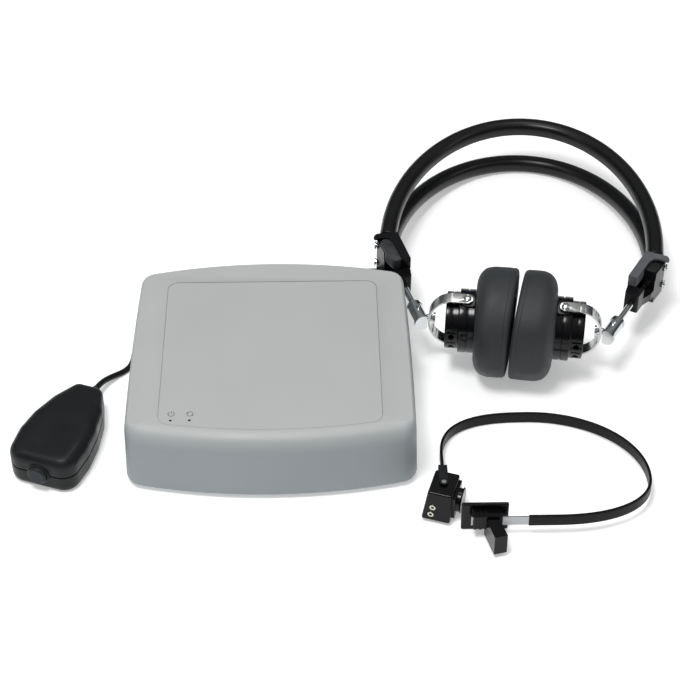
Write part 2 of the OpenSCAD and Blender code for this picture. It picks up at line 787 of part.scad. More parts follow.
// ---- response switch: X across, Y from the button to the tail ----
module hand_place() {
  translate([hand_x, hand_y, 0])
    rotate([0, 0, hand_turn])
      children();
}
function puck_side(r, z0, z1, et, eb) = concat([[0, z0]],
  [for (i = [0:4]) [r - eb + eb * sin(22.5 * i), z0 + eb - eb * cos(22.5 * i)]],
  [for (i = [0:4]) [r - et + et * cos(22.5 * i), z1 - et + et * sin(22.5 * i)]], [[0, z1]]);
module puck(x, y, r, z0, z1, et, eb) {
  translate([x, y, 0])
    rotate_extrude($fn = 32)
      polygon(puck_side(r, z0, z1, et, eb));
}
module pod(g) {
  et = hand_edge - g;
  eb = max(hand_edge_low - g, 0.5);
  hull()
    for (s = [-1, 1]) {
      puck(s * (hand_hw - 10.5), 9.5, 9.5 - g, g, hand_hf - g, et, eb);
      puck(s * (hand_hw - 11), hand_wide, 11 - g, g, hand_h - g, et, eb);
      puck(s * (hand_tail - 5), hand_l - 5, 5 - g, g, hand_ht - g, min(et, 4.9 - g), eb);
    }
}
hand_seats = [[-12, 21], [12, 21], [0, 54]];
hand_roof = [hand_h, hand_h, hand_h + (hand_ht - hand_h) * (54 - hand_wide) / (hand_l - 5 - hand_wide)];
module handset_top() {
  color("#1E1F21")
    hand_place()
      difference() {
        union() {
          difference() {
            pod(0);
            pod(hand_wall);
          }
          for (i = [0:2])
            translate(hand_seats[i])
              rod_z(3, hand_part + 0.4, hand_roof[i] - hand_wall + 0.6, 32);
        }
        box([-40, -20, -1], [40, 100, hand_part + hand_groove / 2]);
        translate([0, 0, hand_part]) {
          rod_y(button_r + button_gap + ring_w, -5, 6);
          rod_y(button_flange_r + 0.5, 2, 12);
        }
        translate([0, 0, hand_exit_z])
          rod_y(relief_r, hand_l - 8, hand_l + 5);
        for (p = hand_seats)
          translate(p)
            rod_z(hand_screw_r + 0.05, 0, hand_ht - hand_wall - 1.5, 32);
      }
}
module handset_base() {
  color("#1C1D1F")
    hand_place()
      difference() {
        union() {
          difference() {
            pod(0);
            pod(hand_wall);
            box([-40, -20, hand_part - hand_groove / 2], [40, 100, 60]);
          }
          difference() {
            pod(hand_wall + 0.2);
            pod(hand_wall + 1.4);
            box([-40, -20, -1], [40, 100, 6]);
            box([-40, -20, hand_part + 1.5], [40, 100, 60]);
          }
          difference() {
            pod(hand_wall - 0.4);
            pod(hand_wall + 1.4);
            box([-40, -20, -1], [40, 100, 6]);
            box([-40, -20, hand_part - hand_groove / 2 - 0.6], [40, 100, 60]);
          }
          for (p = hand_seats)
            translate(p)
              rod_z(3, 1, hand_part, 32);
        }
        translate([0, 0, hand_part])
          rod_y(button_r + button_gap + ring_w, -5, 3);
        translate([0, 0, hand_part])
          rod_y(button_flange_r + 0.5, 2, 12);
        translate([0, 0, hand_exit_z]) {
          rod_y(relief_r, hand_l - 8, hand_l + 5);
          rod_y(relief_r + 1.8, hand_l - 10, hand_l - hand_wall - 0.1);
        }
        for (p = hand_seats)
          translate(p) {
            rod_z(2.3, -1, 1.6, 32);
            rod_z(hand_screw_r + 0.15, 0, hand_part + 1, 32);
          }
      }
}
module button_ring() {
  color("#131416")
    hand_place()
      translate([0, 0, hand_part])
        difference() {
          rod_y(button_r + button_gap + ring_w, -0.6, hand_wall);
          rod_y(button_r + button_gap, -2, hand_wall + 1);
        }
}
module push_button() {
  color("#5C646E")
    hand_place()
      translate([0, 0, hand_part]) {
        difference() {
          rod_y(button_r, -button_out, hand_wall + 1);
          translate([0, -button_out - 0.01, 0])
            rotate([-90, 0, 0])
              difference() {
                cylinder(r = button_r + 1, h = 0.8, $fn = 48);
                cylinder(r1 = button_r - 0.8, r2 = button_r + 0.01, h = 0.8, $fn = 48);
              }
        }
        rod_y(button_flange_r, hand_wall + 0.3, hand_wall + 1.5);
        rod_y(2.4, hand_wall + 1, hand_wall + 8);
      }
}
module press_switch() {
  color("#2B2D30")
    hand_place() {
      y0 = hand_wall + 8 + button_travel + 0.2;
      box([-7, y0, hand_part - 5], [7, y0 + 8, hand_part + 5]);
      box([-8, y0, hand_wall], [8, y0 + 8, hand_part - 5]);
      for (x = [-4, 0, 4])
        box([x - 0.5, y0 + 8, hand_part - 1], [x + 0.5, y0 + 11, hand_part + 1]);
    }
}
module handset_relief() {
  color("#141517")
    hand_place()
      translate([0, 0, hand_exit_z])
        difference() {
          union() {
            rod_y(relief_r, hand_l - 8, hand_l + 1);
            translate([0, hand_l + 1, 0])
              rotate([-90, 0, 0])
                cylinder(r1 = relief_r, r2 = cord_d / 2 + 0.4, h = relief_l - 1, $fn = 48);
            rod_y(relief_r + 1.6, hand_l - 5.5, hand_l - hand_wall - 0.4);
          }
          for (i = [0:1])
            translate([0, hand_l + 2 + i * 2, 0])
              box([-5, 0, cord_d / 2 + 0.2], [5, 0.9, 5]);
        }
}
module handset_screws() {
  color("#B8BBBE")
    hand_place()
      for (p = hand_seats)
        translate(p) {
          rod_z(2.1, 0.2, 1.6, 32);
          rod_z(hand_screw_r, 1.5, hand_ht - hand_wall - 2.5, 32);
        }
}

// ---- response cord ----
hand_exit = [hand_x - sin(hand_turn) * (hand_l + relief_l), hand_y + cos(hand_turn) * (hand_l + relief_l),
  hand_exit_z];
cr2 = cord_d / 2;
route_a = concat([hand_exit], [[-102.6, 10, 7], [-100.6, 14.4, 5.6], [-97.6, 18.8, 4], [-94, 22.8, 2.6],
  [-90.6, 26, cr2], [-87.4, 29.6, cr2], [-85.6, 34, cr2], [-84.8, 40, cr2], [-84.4, 48, cr2],
  [-84.2, 58, cr2], [-83.4, 67, cr2], [-80.5, 75, cr2], [-75, 82.4, cr2], [-66, 89, cr2],
  [-54, 94.8, cr2], [-40, 100, cr2], [-25, 104.8, cr2], [-13, 107.8, cr2], [-4, 109, cr2]]);
plug_o = [jack_xs[0], rear_y + jack_neck + 7, jack_z];
plug_d = [cos(plug_drop), 0, -sin(plug_drop)];
plug_leg = 8;
plug_end = plug_o + plug_d * (plug_leg + plug_relief_l);
route_b = concat([plug_end], [[-26, 78.6, 4.6], [-21.5, 79, 2.7], [-16.5, 79.8, cr2],
  [-10, 81.6, cr2], [-3, 83.6, cr2], [4.5, 84.3, cr2]]);
hank_ro = hank_ri + hank_side * cord_d;
hank_z = hank_high * cord_d;
module stadium(r, l) {
  hull()
    for (s = [-1, 1])
      translate([s * l / 2, 0])
        circle(r = r, $fn = 48);
}
module response_cord() {
  color("#151618")
    tube3(smooth(route_a, 3), cr2);
}
module response_cord_end() {
  color("#151618")
    tube3(smooth(route_b, 3), cr2);
}
module response_hank() {
  color("#151618")
    translate([hank_x, hank_y, 0])
      linear_extrude(height = hank_z)
        difference() {
          stadium(hank_ro, hank_run);
          stadium(hank_ri, hank_run);
        }
}
module hank_tie() {
  color("#26282A")
    translate([hank_x - tie_w / 2, hank_y, 0])
      difference() {
        box([0, -hank_ro - tie_t, 0], [tie_w, hank_ro + tie_t, hank_z + tie_t]);
        box([-1, -hank_ro, -1], [tie_w + 1, -hank_ri, hank_z]);
        box([-1, hank_ri, -1], [tie_w + 1, hank_ro, hank_z]);
        box([-1, -hank_ri + tie_t, -1], [tie_w + 1, hank_ri - tie_t, hank_z]);
      }
}
module response_plug() {
  color("#1A1B1D")
    translate(plug_o) {
      rod_y(plug_r, -6.5, 1, 48);
      rotate([0, plug_drop, 0]) {
        rod_x(plug_r, -6, plug_leg, 48);
        translate([plug_leg, 0, 0])
          rotate([0, 90, 0])
            cylinder(r1 = 3.4, r2 = cord_d / 2 + 0.3, h = plug_relief_l, $fn = 48);
      }
    }
  color("#C9CCCE")
    translate([jack_xs[0], 0, jack_z]) {
      rod_y(plug_pin_r, rear_y + jack_neck + 0.5 - plug_pin_l + 4, rear_y + jack_neck + 1);
      translate([0, rear_y + jack_neck + 0.5 - plug_pin_l, 0])
        rotate([-90, 0, 0])
          cylinder(r1 = 1.4, r2 = plug_pin_r - 0.2, h = 4.05, $fn = 48);
    }
}

// ---- headset: X across, Y from the earphones to the crown, tipped until it rests ----
crown_run = band_crown - fan_y;
crown_y = fan_y + crown_run * cos(fan_down);
crown_z = fan_z + crown_run * sin(fan_down);
reach = norm([crown_y, crown_z]);
head_tip = asin((cush_r - sleeve_h / 2) / reach) - atan(crown_z / crown_y);
module head_place() {
  translate([head_x, head_y, cush_r])
    rotate([0, 0, head_turn])
      rotate([-head_tip, 0, 0])
        children();
}
module upper_place() {
  translate([0, fan_y, fan_z])
    rotate([fan_up, 0, 0])
      translate([0, -fan_y, 0])
        children();
}
module lower_place() {
  translate([0, fan_y, -fan_z])
    rotate([-fan_down, 0, 0])
      translate([0, -fan_y, 0])
        children();
}
module side(s) {
  if (s < 0)
    mirror([1, 0, 0])
      children();
  else
    children();
}
module rod_place() {
  translate([bush_x, 0, 0])
    rotate([0, 0, -rod_lean])
      children();
}
function band_path(y0, y1) = concat([[band_a, y0]],
  [for (i = [0:36]) let (t = 180 * i / 36) [band_a * cos(t),
    band_straight + (band_crown - band_straight) * sin(t)]], [[-band_a, y1]]);
module band_sleeve() {
  p = band_path(70, 70);
  loft_tube(rings_on(p, super(sleeve_w / 2, sleeve_h / 2, 2.3, 16)),
    rings_on(p, super(spring_t / 2 + spring_gap, spring_h / 2 + spring_gap, 24, 16)));
}
module band_spring() {
  p = band_path(55, 55);
  h = spring_h / 2;
  t = spring_t / 2;
  difference() {
    loft(rings_on(p, [[t, -h], [t, h], [-t, h], [-t, -h]]));
    translate([0, fan_y, 0])
      rod_x(rivet_r + rivet_gap, -100, 100, 32);
  }
}
module upper_sleeve() {
  color("#18191B")
    head_place()
      upper_place()
        band_sleeve();
}
module upper_spring() {
  color("#B4B7BA")
    head_place()
      upper_place()
        band_spring();
}
module lower_sleeve() {
  color("#18191B")
    head_place()
      lower_place()
        band_sleeve();
}
module lower_spring() {
  color("#B4B7BA")
    head_place()
      lower_place()
        band_spring();
}
module band_rivets() {
  color("#C5C8CB")
    head_place()
      for (s = [-1, 1], z = [-fan_z, fan_z])
        side(s)
          translate([0, fan_y, z]) {
            rod_x(rivet_r, 77, 89.4, 32);
            rod_x(rivet_r + 0.9, 89.1, 89.8, 32);
          }
}
// plan of a slide block in its rod's frame
module block_plan() {
  offset(r = 1.2, $fn = 32)
    offset(delta = -1.2)
      polygon([[-6.6, block_foot + 9], [-4.8, block_foot], [4, block_foot], [4, block_foot + 9],
        [6.4, block_foot + 16], [6.8, block_top - 4], [5.4, block_top], [-7, block_top]]);
}
module slide_block(s) {
  color(s > 0 ? "#4A4C4E" : "#232426")
    head_place()
      side(s)
        difference() {
          rod_place()
            difference() {
              translate([0, 0, -block_hz])
                linear_extrude(height = 2 * block_hz)
                  block_plan();
              box([-12, block_foot - 1, 6], [12, block_foot + 21, 20]);
              box([-12, block_foot - 1, -20], [12, block_foot + 21, -6]);
              box([-2.8, block_foot + 9, -1], [12, block_foot + 20, 20]);
            }
          rod_place()
            rod_y(rod_r + rod_gap, block_foot - 2, block_top + 2);
          box([band_a - 1.1, fan_y - 7, 1.4], [band_a + 1.1, fan_y + 20, 30]);
          box([band_a - 1.1, fan_y - 7, -30], [band_a + 1.1, fan_y + 20, -1.4]);
          box([band_a - sleeve_w / 2 - 0.5, fan_y + 10, -30], [band_a + sleeve_w / 2 + 0.5, fan_y + 40, 30]);
          for (z = [-fan_z, fan_z])
            translate([0, fan_y, z])
              rod_x(rivet_r, 77, 95, 32);
        }
}
module left_block() {
  slide_block(-1);
}
module right_block() {
  slide_block(1);
}
module steel_rod(s) {
  color("#D5D8DA")
    head_place()
      side(s)
        rod_place()
          rod_y(rod_r, -bush_down + 1, rod_top);
}
module left_rod() {
  steel_rod(-1);
}
module right_rod() {
  steel_rod(1);
}
stud_in = 48.2;
module bush(s) {
  color("#CFD2D5")
    head_place()
      side(s)
        difference() {
          union() {
            // the inner side is flat, so that the yoke swings past it
            difference() {
              rod_place() {
                rod_y(bush_r, -bush_down, bush_up);
                rod_y(bush_r + 0.7, -bush_down, -bush_down + 2.2);
                rod_y(bush_r + 0.4, bush_up - 1.6, bush_up);
                translate([0, 4, 0])
                  rod_z(1.1, 0, bush_r + 1.6, 24);
              }
              box([30, -30, -30], [yoke_apex + 0.3, 30, 30]);
            }
            rod_x(stud_r, stud_in, bush_x);
            rod_x(stud_r + 1.4, stud_in - 1.2, stud_in + 0.2);
          }
          rod_place()
            rod_y(rod_r, -bush_down + 1, bush_up + 1);
        }
}
module left_bush() {
  bush(-1);
}
module right_bush() {
  bush(1);
}
// everything that turns with a yoke
module yoke_place(s) {
  head_place()
    rotate([yoke_turn, 0, 0])
      side(s)
        children();
}
yoke_z = case_r + 1.6;
yoke_bend = 37;
yoke_apex = 51.3;
function yoke_arc(g) = [for (i = [0:16]) let (t = 90 - 180 * i / 16)
  [yoke_bend + (yoke_apex - yoke_bend - g) * cos(t), (yoke_z + yoke_t - g) * sin(t)]];
module yoke(s) {
  color("#D2D5D8")
    yoke_place(s)
      difference() {
        intersection() {
          rotate([90, 0, 0])
            translate([0, 0, -yoke_w / 2])
              linear_extrude(height = yoke_w)
                polygon(concat([[pivot_x - yoke_w / 2, yoke_z + yoke_t]], yoke_arc(0),
                  [[pivot_x - yoke_w / 2, -yoke_z - yoke_t], [pivot_x - yoke_w / 2, -yoke_z]],
                  [for (i = [16:-1:0]) yoke_arc(yoke_t)[i]], [[pivot_x - yoke_w / 2, yoke_z]]));
          translate([0, 0, -30])
            linear_extrude(height = 60)
              union() {
                translate([pivot_x, 0])
                  circle(r = yoke_w / 2, $fn = 32);
                translate([pivot_x, -yoke_w / 2])
                  square([30, yoke_w]);
              }
        }
        translate([pivot_x, 0, 0])
          rod_z(pivot_r + pivot_gap, -30, 30, 32);
        rod_x(stud_r + stud_gap, 40, 60, 32);
      }
}
module left_yoke() {
  yoke(-1);
}
module right_yoke() {
  yoke(1);
}
module ear_place(s) {
  yoke_place(s)
    translate([pivot_x, 0, 0])
      rotate([0, 0, -toe])
        translate([-pivot_x, 0, 0])
          children();
}
cush_x1 = cush_half + cush_t;
// solid of revolution about X, from points [x, radius]
module turned(pts, fn = 64) {
  rotate([0, 90, 0])
    rotate([0, 0, 180])
      rotate_extrude($fn = fn)
        polygon([for (p = pts) [p[1], p[0]]]);
}
module ear_case(s) {
  color("#151618")
    ear_place(s)
      difference() {
        union() {
          turned([[cush_x1 - flange_t, 0], [cush_x1 - flange_t, flange_r], [cush_x1, flange_r],
            [cush_x1, case_r], [case_step - 0.8, case_r], [case_step, case_r - 0.8],
            [case_step, cap_r], [case_back - 1.2, cap_r], [case_back, cap_r - 1.2], [case_back, 0]]);
          for (a = [0, 180])
            rotate([a, 0, 0])
              translate([pivot_x, 0, 0])
                rod_z(4.4, case_r - 3, yoke_z - 0.2, 48);
        }
        turned([[cush_x1 - flange_t + 2, 0], [cush_x1 - flange_t + 2, case_r - 3.2],
          [case_step - 2, case_r - 3.2], [case_step - 2, cap_r - 2], [case_back - 2, cap_r - 2],
          [case_back - 2, 0]]);
        for (a = [0:60:300])
          rotate([a, 0, 0])
            translate([0, 0, 6])
              rod_x(1.5, cush_x1 - flange_t - 1, cush_x1 - flange_t + 3, 24);
        for (z = [-pin_pitch / 2, pin_pitch / 2])
          translate([(case_step + case_back) / 2, 0, z])
            rod_y(pin_r, -cap_r - 1, -cap_r + 5, 32);
        for (z = [-pin_pitch / 2 - 2.9, 0, pin_pitch / 2 + 2.9])
          box([(case_step + case_back) / 2 - 2.6, -cap_r - 1, z - 0.45],
            [(case_step + case_back) / 2 + 2.6, -cap_r + 2.2, z + 0.45]);
        for (a = [0, 180])
          rotate([a, 0, 0])
            translate([pivot_x, 0, 0])
              rod_z(pivot_r, case_r - 3.3, 30, 32);
      }
}
module left_case() {
  ear_case(-1);
}
module right_case() {
  ear_case(1);
}
module driver(s) {
  color("#8F9396")
    ear_place(s) {
      rod_x(14.5, cush_x1 - flange_t + 3, cush_x1 - flange_t + 4.2);
      rod_x(10, cush_x1 - flange_t + 4.2, case_back - 2);
    }
}
module left_driver() {
  driver(-1);
}
module right_driver() {
  driver(1);
}
module pivots(s) {
  color("#D8DADD")
    ear_place(s)
      for (a = [0, 180])
        rotate([a, 0, 0])
          translate([pivot_x, 0, 0]) {
            rod_z(pivot_r, case_r - 2.8, yoke_z + yoke_t + 0.3, 32);
            difference() {
              translate([0, 0, yoke_z + yoke_t + 0.2])
                cylinder(r1 = 2.7, r2 = 2.1, h = 1.1, $fn = 32);
              box([-3, -0.35, yoke_z + yoke_t + 0.9], [3, 0.35, yoke_z + yoke_t + 3]);
            }
          }
}
module left_pivots() {
  pivots(-1);
}
module right_pivots() {
  pivots(1);
}
function edge(cx, cy, r, a0, a1) = [for (i = [0:6]) let (a = a0 + (a1 - a0) * i / 6)
  [cx + r * sin(a), cy + r * cos(a)]];
module cushion(s) {
  color("#1F2022")
    ear_place(s)
      translate([cush_half, 0, 0])
        turned(concat([[cush_t - flange_t, cush_bore], [2.5, cush_bore], [0, cush_bore + 2.5]],
          edge(cush_edge, cush_r - cush_edge, cush_edge, -90, 0),
          edge(cush_t - cush_back, cush_r - cush_back, cush_back, 0, 90),
          [[cush_t, flange_r], [cush_t - flange_t, flange_r]]), 96);
}
module left_cushion() {
  cushion(-1);
}
module right_cushion() {
  cushion(1);
}

// ---- bone vibrator: drawn level at the strip's mid height, then tipped ----
module bone_place() {
  translate([0, hoop_front, bone_z])
    rotate([-bone_tip, 0, 0])
      translate([0, -hoop_front, 0])
        children();
}
module vib_stand() {
  translate([vib_x, vib_y, vib_z])
    children();
}
function quad(cx, cy, a, b, n, t) = [cx + a * sign(cos(t)) * pow(abs(cos(t)), 2 / n),
  cy + b * sign(sin(t)) * pow(abs(sin(t)), 2 / n)];
left_y = -56;
// clockwise from the fork round the crown to the pad, listed the other way round for the sweep
function hoop(x0, y1) = concat([[x0, hoop_front]],
  [for (i = [0:12]) quad(155, hoop_mid, hoop_right - 155, hoop_mid - hoop_front, 2.3, -90 + 90 * i / 12)],
  [for (i = [1:14]) quad(hoop_x, hoop_mid, hoop_right - hoop_x, hoop_back - hoop_mid, 2, 90 * i / 14)],
  [for (i = [1:14]) quad(hoop_x, left_y, hoop_x - hoop_left, hoop_back - left_y, 2.7, 90 + 90 * i / 14)],
  [[hoop_left, y1]]);
strip_x0 = pad_x - 8;
fork_y = vib_y + vib_l / 2 + 3.5;
module hoop_strip() {
  color("#B9BCBF")
    bone_place()
      loft(rings_on(hoop(strip_x0, fork_y + 2), [[strip_t / 2, -strip_h / 2], [strip_t / 2, strip_h / 2],
        [-strip_t / 2, strip_h / 2], [-strip_t / 2, -strip_h / 2]]));
}
module hoop_sleeve() {
  a = strip_t / 2 + 0.05;
  b = strip_h / 2 + 0.05;
  p = hoop(sleeve_end, -63);
  color("#141517")
    bone_place()
      loft_tube(rings_on(p, [[a + strip_sleeve, -b - strip_sleeve], [a + strip_sleeve, b + strip_sleeve],
        [-a - strip_sleeve, b + strip_sleeve], [-a - strip_sleeve, -b - strip_sleeve]]),
        rings_on(p, [[a, -b], [a, b], [-a, b], [-a, -b]]));
}
module fork_shape() {
  h = vib_h / 2 + fork_gap;
  y1 = vib_l / 2 + 3.5;
  // the two arms over and under the vibrator, and the back that joins them
  for (z = [h, -h - fork_t]) {
    rod_place_z(fork_w / 2, z, z + fork_t);
    box([-fork_w / 2, 0, z], [fork_w / 2, y1, z + fork_t]);
  }
  box([-fork_w / 2, y1 - fork_t, -h - fork_t], [fork_w / 2, y1, h + fork_t]);
}
module rod_place_z(r, z0, z1) {
  rod_z(r, z0, z1, 32);
}
module vibrator_fork() {
  color("#A9ADB0")
    difference() {
      union() {
        vib_stand()
          fork_shape();
        bone_place()
          box([hoop_left + strip_t / 2, fork_y - 0.5, -strip_h / 2],
            [hoop_left + strip_t / 2 + 1, fork_y + 9, strip_h / 2]);
      }
      vib_stand()
        rod_z(vib_pin_r + 0.1, -30, 30, 32);
      bone_place()
        box([hoop_left - strip_t / 2, fork_y - 3, -strip_h / 2 - 0.1],
          [hoop_left + strip_t / 2, fork_y + 20, strip_h / 2 + 0.1]);
    }
}
module vib_place() {
  vib_stand()
    rotate([0, 0, vib_turn])
      children();
}
module soft_box(a, b, r) {
  hull()
    for (x = [a[0] + r, b[0] - r], y = [a[1] + r, b[1] - r], z = [a[2] + r, b[2] - r])
      translate([x, y, z])
        sphere(r = r, $fn = 16);
}
// the case spreads towards its foot at the front and on the left
module vibrator_shell() {
  w = vib_w / 2 - 1.2;
  l = vib_l / 2 - 1.2;
  h = vib_h / 2 - 1.2;
  hull()
    for (x = [-w, w], y = [-l, l], k = [0, 1])
      translate([x - (x < 0 ? k * vib_flare * 0.7 : 0), y - (y < 0 ? k * vib_flare : 0), k > 0 ? -h : h])
        sphere(r = 1.2, $fn = 16);
}
module vibrator_case() {
  color("#121315")
    vib_place()
      difference() {
        union() {
          vibrator_shell();
          box([vib_w / 2 - 1, -vib_l / 2 + 1.5, -vib_h / 2 + 1], [vib_w / 2 + 1.6, vib_l / 2 - 1.5, vib_h / 2 - 3]);
        }
        box([-vib_w / 2 + 1.8, -vib_l / 2 + 4, -vib_h / 2 + 2.6], [vib_w / 2 - 1, vib_l / 2 - 1.8, vib_h / 2 - 2.6]);
        for (z = [-lead_pitch / 2, lead_pitch / 2])
          translate([-3.6 + 0.15 * z, 0, z - 2.4])
            rod_y(lead_ring_r, lead_front(z) - 2, -vib_l / 2 + 3, 32);
        rod_z(vib_pin_r, vib_h / 2 - 2, 30, 32);
        rod_z(vib_pin_r, -30, -vib_h / 2 + 2, 32);
      }
}
module vibrator_face() {
  color("#1C1D20")
    vib_place()
      translate([0, 0, -1]) {
        rod_x(face_r - 0.8, vib_w / 2 + 1.6, vib_w / 2 + face_out - 0.8, 48);
        translate([vib_w / 2 + face_out - 0.8, 0, 0])
          rotate([0, 90, 0])
            cylinder(r1 = face_r, r2 = face_r - 0.6, h = 0.8, $fn = 48);
      }
}
module vibrator_motor() {
  color("#7C8083")
    vib_place() {
      box([-vib_w / 2 + 2.2, -vib_l / 2 + 4.6, -4.5], [vib_w / 2 - 1.6, vib_l / 2 - 2.4, 4.5]);
      box([-vib_w / 2 + 3.2, -vib_l / 2 + 5.6, -vib_h / 2 + 3], [vib_w / 2 - 2.6, vib_l / 2 - 3.4, vib_h / 2 - 3]);
    }
}
// the sloped front face at the height of a lead socket
function lead_front(z) = -vib_l / 2 - vib_flare * (vib_h / 2 - z + 2.4) / vib_h;
module lead_sockets() {
  color("#C9C6B8")
    vib_place()
      for (z = [-lead_pitch / 2, lead_pitch / 2])
        translate([-3.6 + 0.15 * z, 0, z - 2.4])
          difference() {
            rod_y(lead_ring_r, lead_front(z) - 0.4, -vib_l / 2 + 3, 32);
            rod_y(lead_ring_r - 0.75, lead_front(z) - 2, -vib_l / 2 + 2.4, 32);
          }
}
module vibrator_pins() {
  color("#C3C6C9")
    vib_place()
      for (a = [0, 180])
        rotate([a, 0, 0]) {
          rod_z(vib_pin_r, vib_h / 2 - 1.8, vib_h / 2 + fork_gap + fork_t + 0.1, 32);
        }
}
pad_back = 4.4;
module pad_place() {
  bone_place()
    translate([pad_x, hoop_front, 0])
      children();
}
module temple_pad() {
  color("#16171A")
    pad_place()
      difference() {
        union() {
          translate([0, 0, -pad_drop])
            soft_box([-pad_w / 2, pad_back, -pad_h / 2], [pad_w / 2, pad_back + pad_t, pad_h / 2], 1.1);
          for (x = [-6, -3, 0])
            box([x - 0.8, -2.8, -strip_h / 2 - 1], [x + 0.8, pad_back + 1, strip_h / 2 + 2]);
          box([-7, -1.9, -strip_h / 2 - 1.4], [9, pad_back + 1, strip_h / 2 + 1.4]);
          translate([3.4, -1.5, 0])
            rotate([0, 0, bar_turn])
              box([-bar_w / 2, -bar_l, -pad_drop - bar_h / 2 - 1.6], [bar_w / 2, 2, -pad_drop + bar_h / 2 - 1.6]);
        }
        box([-20, -strip_t / 2 - pad_gap, -strip_h / 2 - pad_gap], [20, strip_t / 2 + pad_gap, strip_h / 2 + pad_gap]);
      }
}

top_cover();
base_tray();
rear_panel();
top_panel();
power_light();
status_light();
main_board();
board_parts();
jack_response();
jack_bone();
jack_left();
jack_right();
jack_nuts();
usb_socket();
console_feet();
case_screws();
board_screws();
handset_top();
handset_base();
button_ring();
push_button();
press_switch();
handset_relief();
handset_screws();
response_cord();
response_hank();
hank_tie();
response_cord_end();
response_plug();
upper_sleeve();
upper_spring();
lower_sleeve();
lower_spring();
band_rivets();
left_block();
right_block();
left_rod();
right_rod();
left_bush();
right_bush();
left_yoke();
right_yoke();
left_case();
right_case();
left_driver();
right_driver();
left_pivots();
right_pivots();
left_cushion();
right_cushion();
hoop_strip();
hoop_sleeve();
vibrator_fork();
vibrator_case();
vibrator_face();
vibrator_motor();
lead_sockets();
vibrator_pins();
temple_pad();
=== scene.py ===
# %% [markdown]
# # A screening audiometer, laid out as a set
# The set is a desk-top console, a hand-held response switch on its lead, a double-band headset
# and a bone vibrator on a steel hoop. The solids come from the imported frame, so the first thing
# is to load it. Nothing in the frame is moved: pieces are added over it, or stand for its nodes.

# %% Load the frame
import json
import math
from math import cos, radians, sin

import bmesh
import bpy
from mathutils import Matrix, Vector


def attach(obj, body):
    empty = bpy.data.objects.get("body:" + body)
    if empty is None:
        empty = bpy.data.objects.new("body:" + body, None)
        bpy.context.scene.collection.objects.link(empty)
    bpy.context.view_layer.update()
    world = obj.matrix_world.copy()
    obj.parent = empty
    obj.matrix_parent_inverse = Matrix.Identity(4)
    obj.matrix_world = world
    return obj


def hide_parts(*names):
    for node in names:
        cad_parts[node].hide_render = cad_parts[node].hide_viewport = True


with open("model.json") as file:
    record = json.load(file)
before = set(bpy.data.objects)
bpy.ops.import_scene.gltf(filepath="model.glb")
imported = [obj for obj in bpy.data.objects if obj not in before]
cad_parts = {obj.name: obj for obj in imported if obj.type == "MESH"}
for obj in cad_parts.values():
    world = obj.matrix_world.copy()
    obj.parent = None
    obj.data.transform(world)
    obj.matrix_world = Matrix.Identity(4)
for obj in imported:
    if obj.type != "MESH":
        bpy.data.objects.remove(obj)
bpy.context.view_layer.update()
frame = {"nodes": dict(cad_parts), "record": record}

nodes = frame["nodes"]
body_with = {n: b for b, members in frame["record"]["behaviour"]["bodies"].items() for n in members}

# %% [markdown]
# ## Camera
# The photograph looks down at the table from in front through a long lens. The console's outline
# was fitted to the picture for several heights and lenses, and the picture doesn't settle either
# exactly. The values chosen are 42 degrees above the horizon and a focal length of 1800 pixels on
# a picture 680 pixels wide, which is 95 mm on a 36 mm sensor.

# %% Camera
AIM = Vector((0.0404, 0.0546, 0.0))
turn, height, distance = radians(-1), radians(42), 1.106
FOCAL_PX, PICTURE_PX, SENSOR_MM = 1800, 680, 36
back = Vector((sin(turn) * cos(height), -cos(turn) * cos(height), sin(height)))
camera = bpy.data.objects.new("camera", bpy.data.cameras.new("camera"))
bpy.context.scene.collection.objects.link(camera)
camera.location = AIM + distance * back
camera.rotation_euler = back.to_track_quat("Z", "Y").to_euler()
camera.data.sensor_width = SENSOR_MM
camera.data.lens = SENSOR_MM * FOCAL_PX / PICTURE_PX
bpy.context.scene.camera = camera
print("camera lens", round(camera.data.lens, 1), "mm")

# %% [markdown]
# ## Colours and the node helper
# Colours are written as the hex values a colour picker gives, and Blender wants them linear, so
# one function turns them. One small function adds a node with its settings and links. It serves
# materials and Geometry Nodes alike.


# %% Colour and node helpers
def linear(text, k=1.0):
    """A hex colour as linear RGBA, made k times as bright."""
    parts = [int(text[i:i + 2], 16) / 255 for i in (1, 3, 5)]
    return [k * (c / 12.92 if c <= 0.04045 else ((c + 0.055) / 1.055) ** 2.4)
            for c in parts] + [1.0]


def add(tree, kind, sockets=None, **settings):
    """A node of this kind: its settings, then a value or a link for each named socket."""
    made = tree.nodes.new(kind)
    for key, value in settings.items():
        setattr(made, key, value)
    for key, value in (sockets or {}).items():
        if isinstance(value, bpy.types.NodeSocket):
            tree.links.new(value, made.inputs[key])
        else:
            made.inputs[key].default_value = value
    return made


# %% [markdown]
# ## Finishes
# Almost every surface here is a moulded plastic, a rubber or a plated metal. Each has a fine
# grain left by the mould or the polishing, faint clouds in its tone, and dust or handling that
# makes its gloss uneven. One recipe builds all three from real sizes in millimetres, and each
# material below gives it its own numbers.


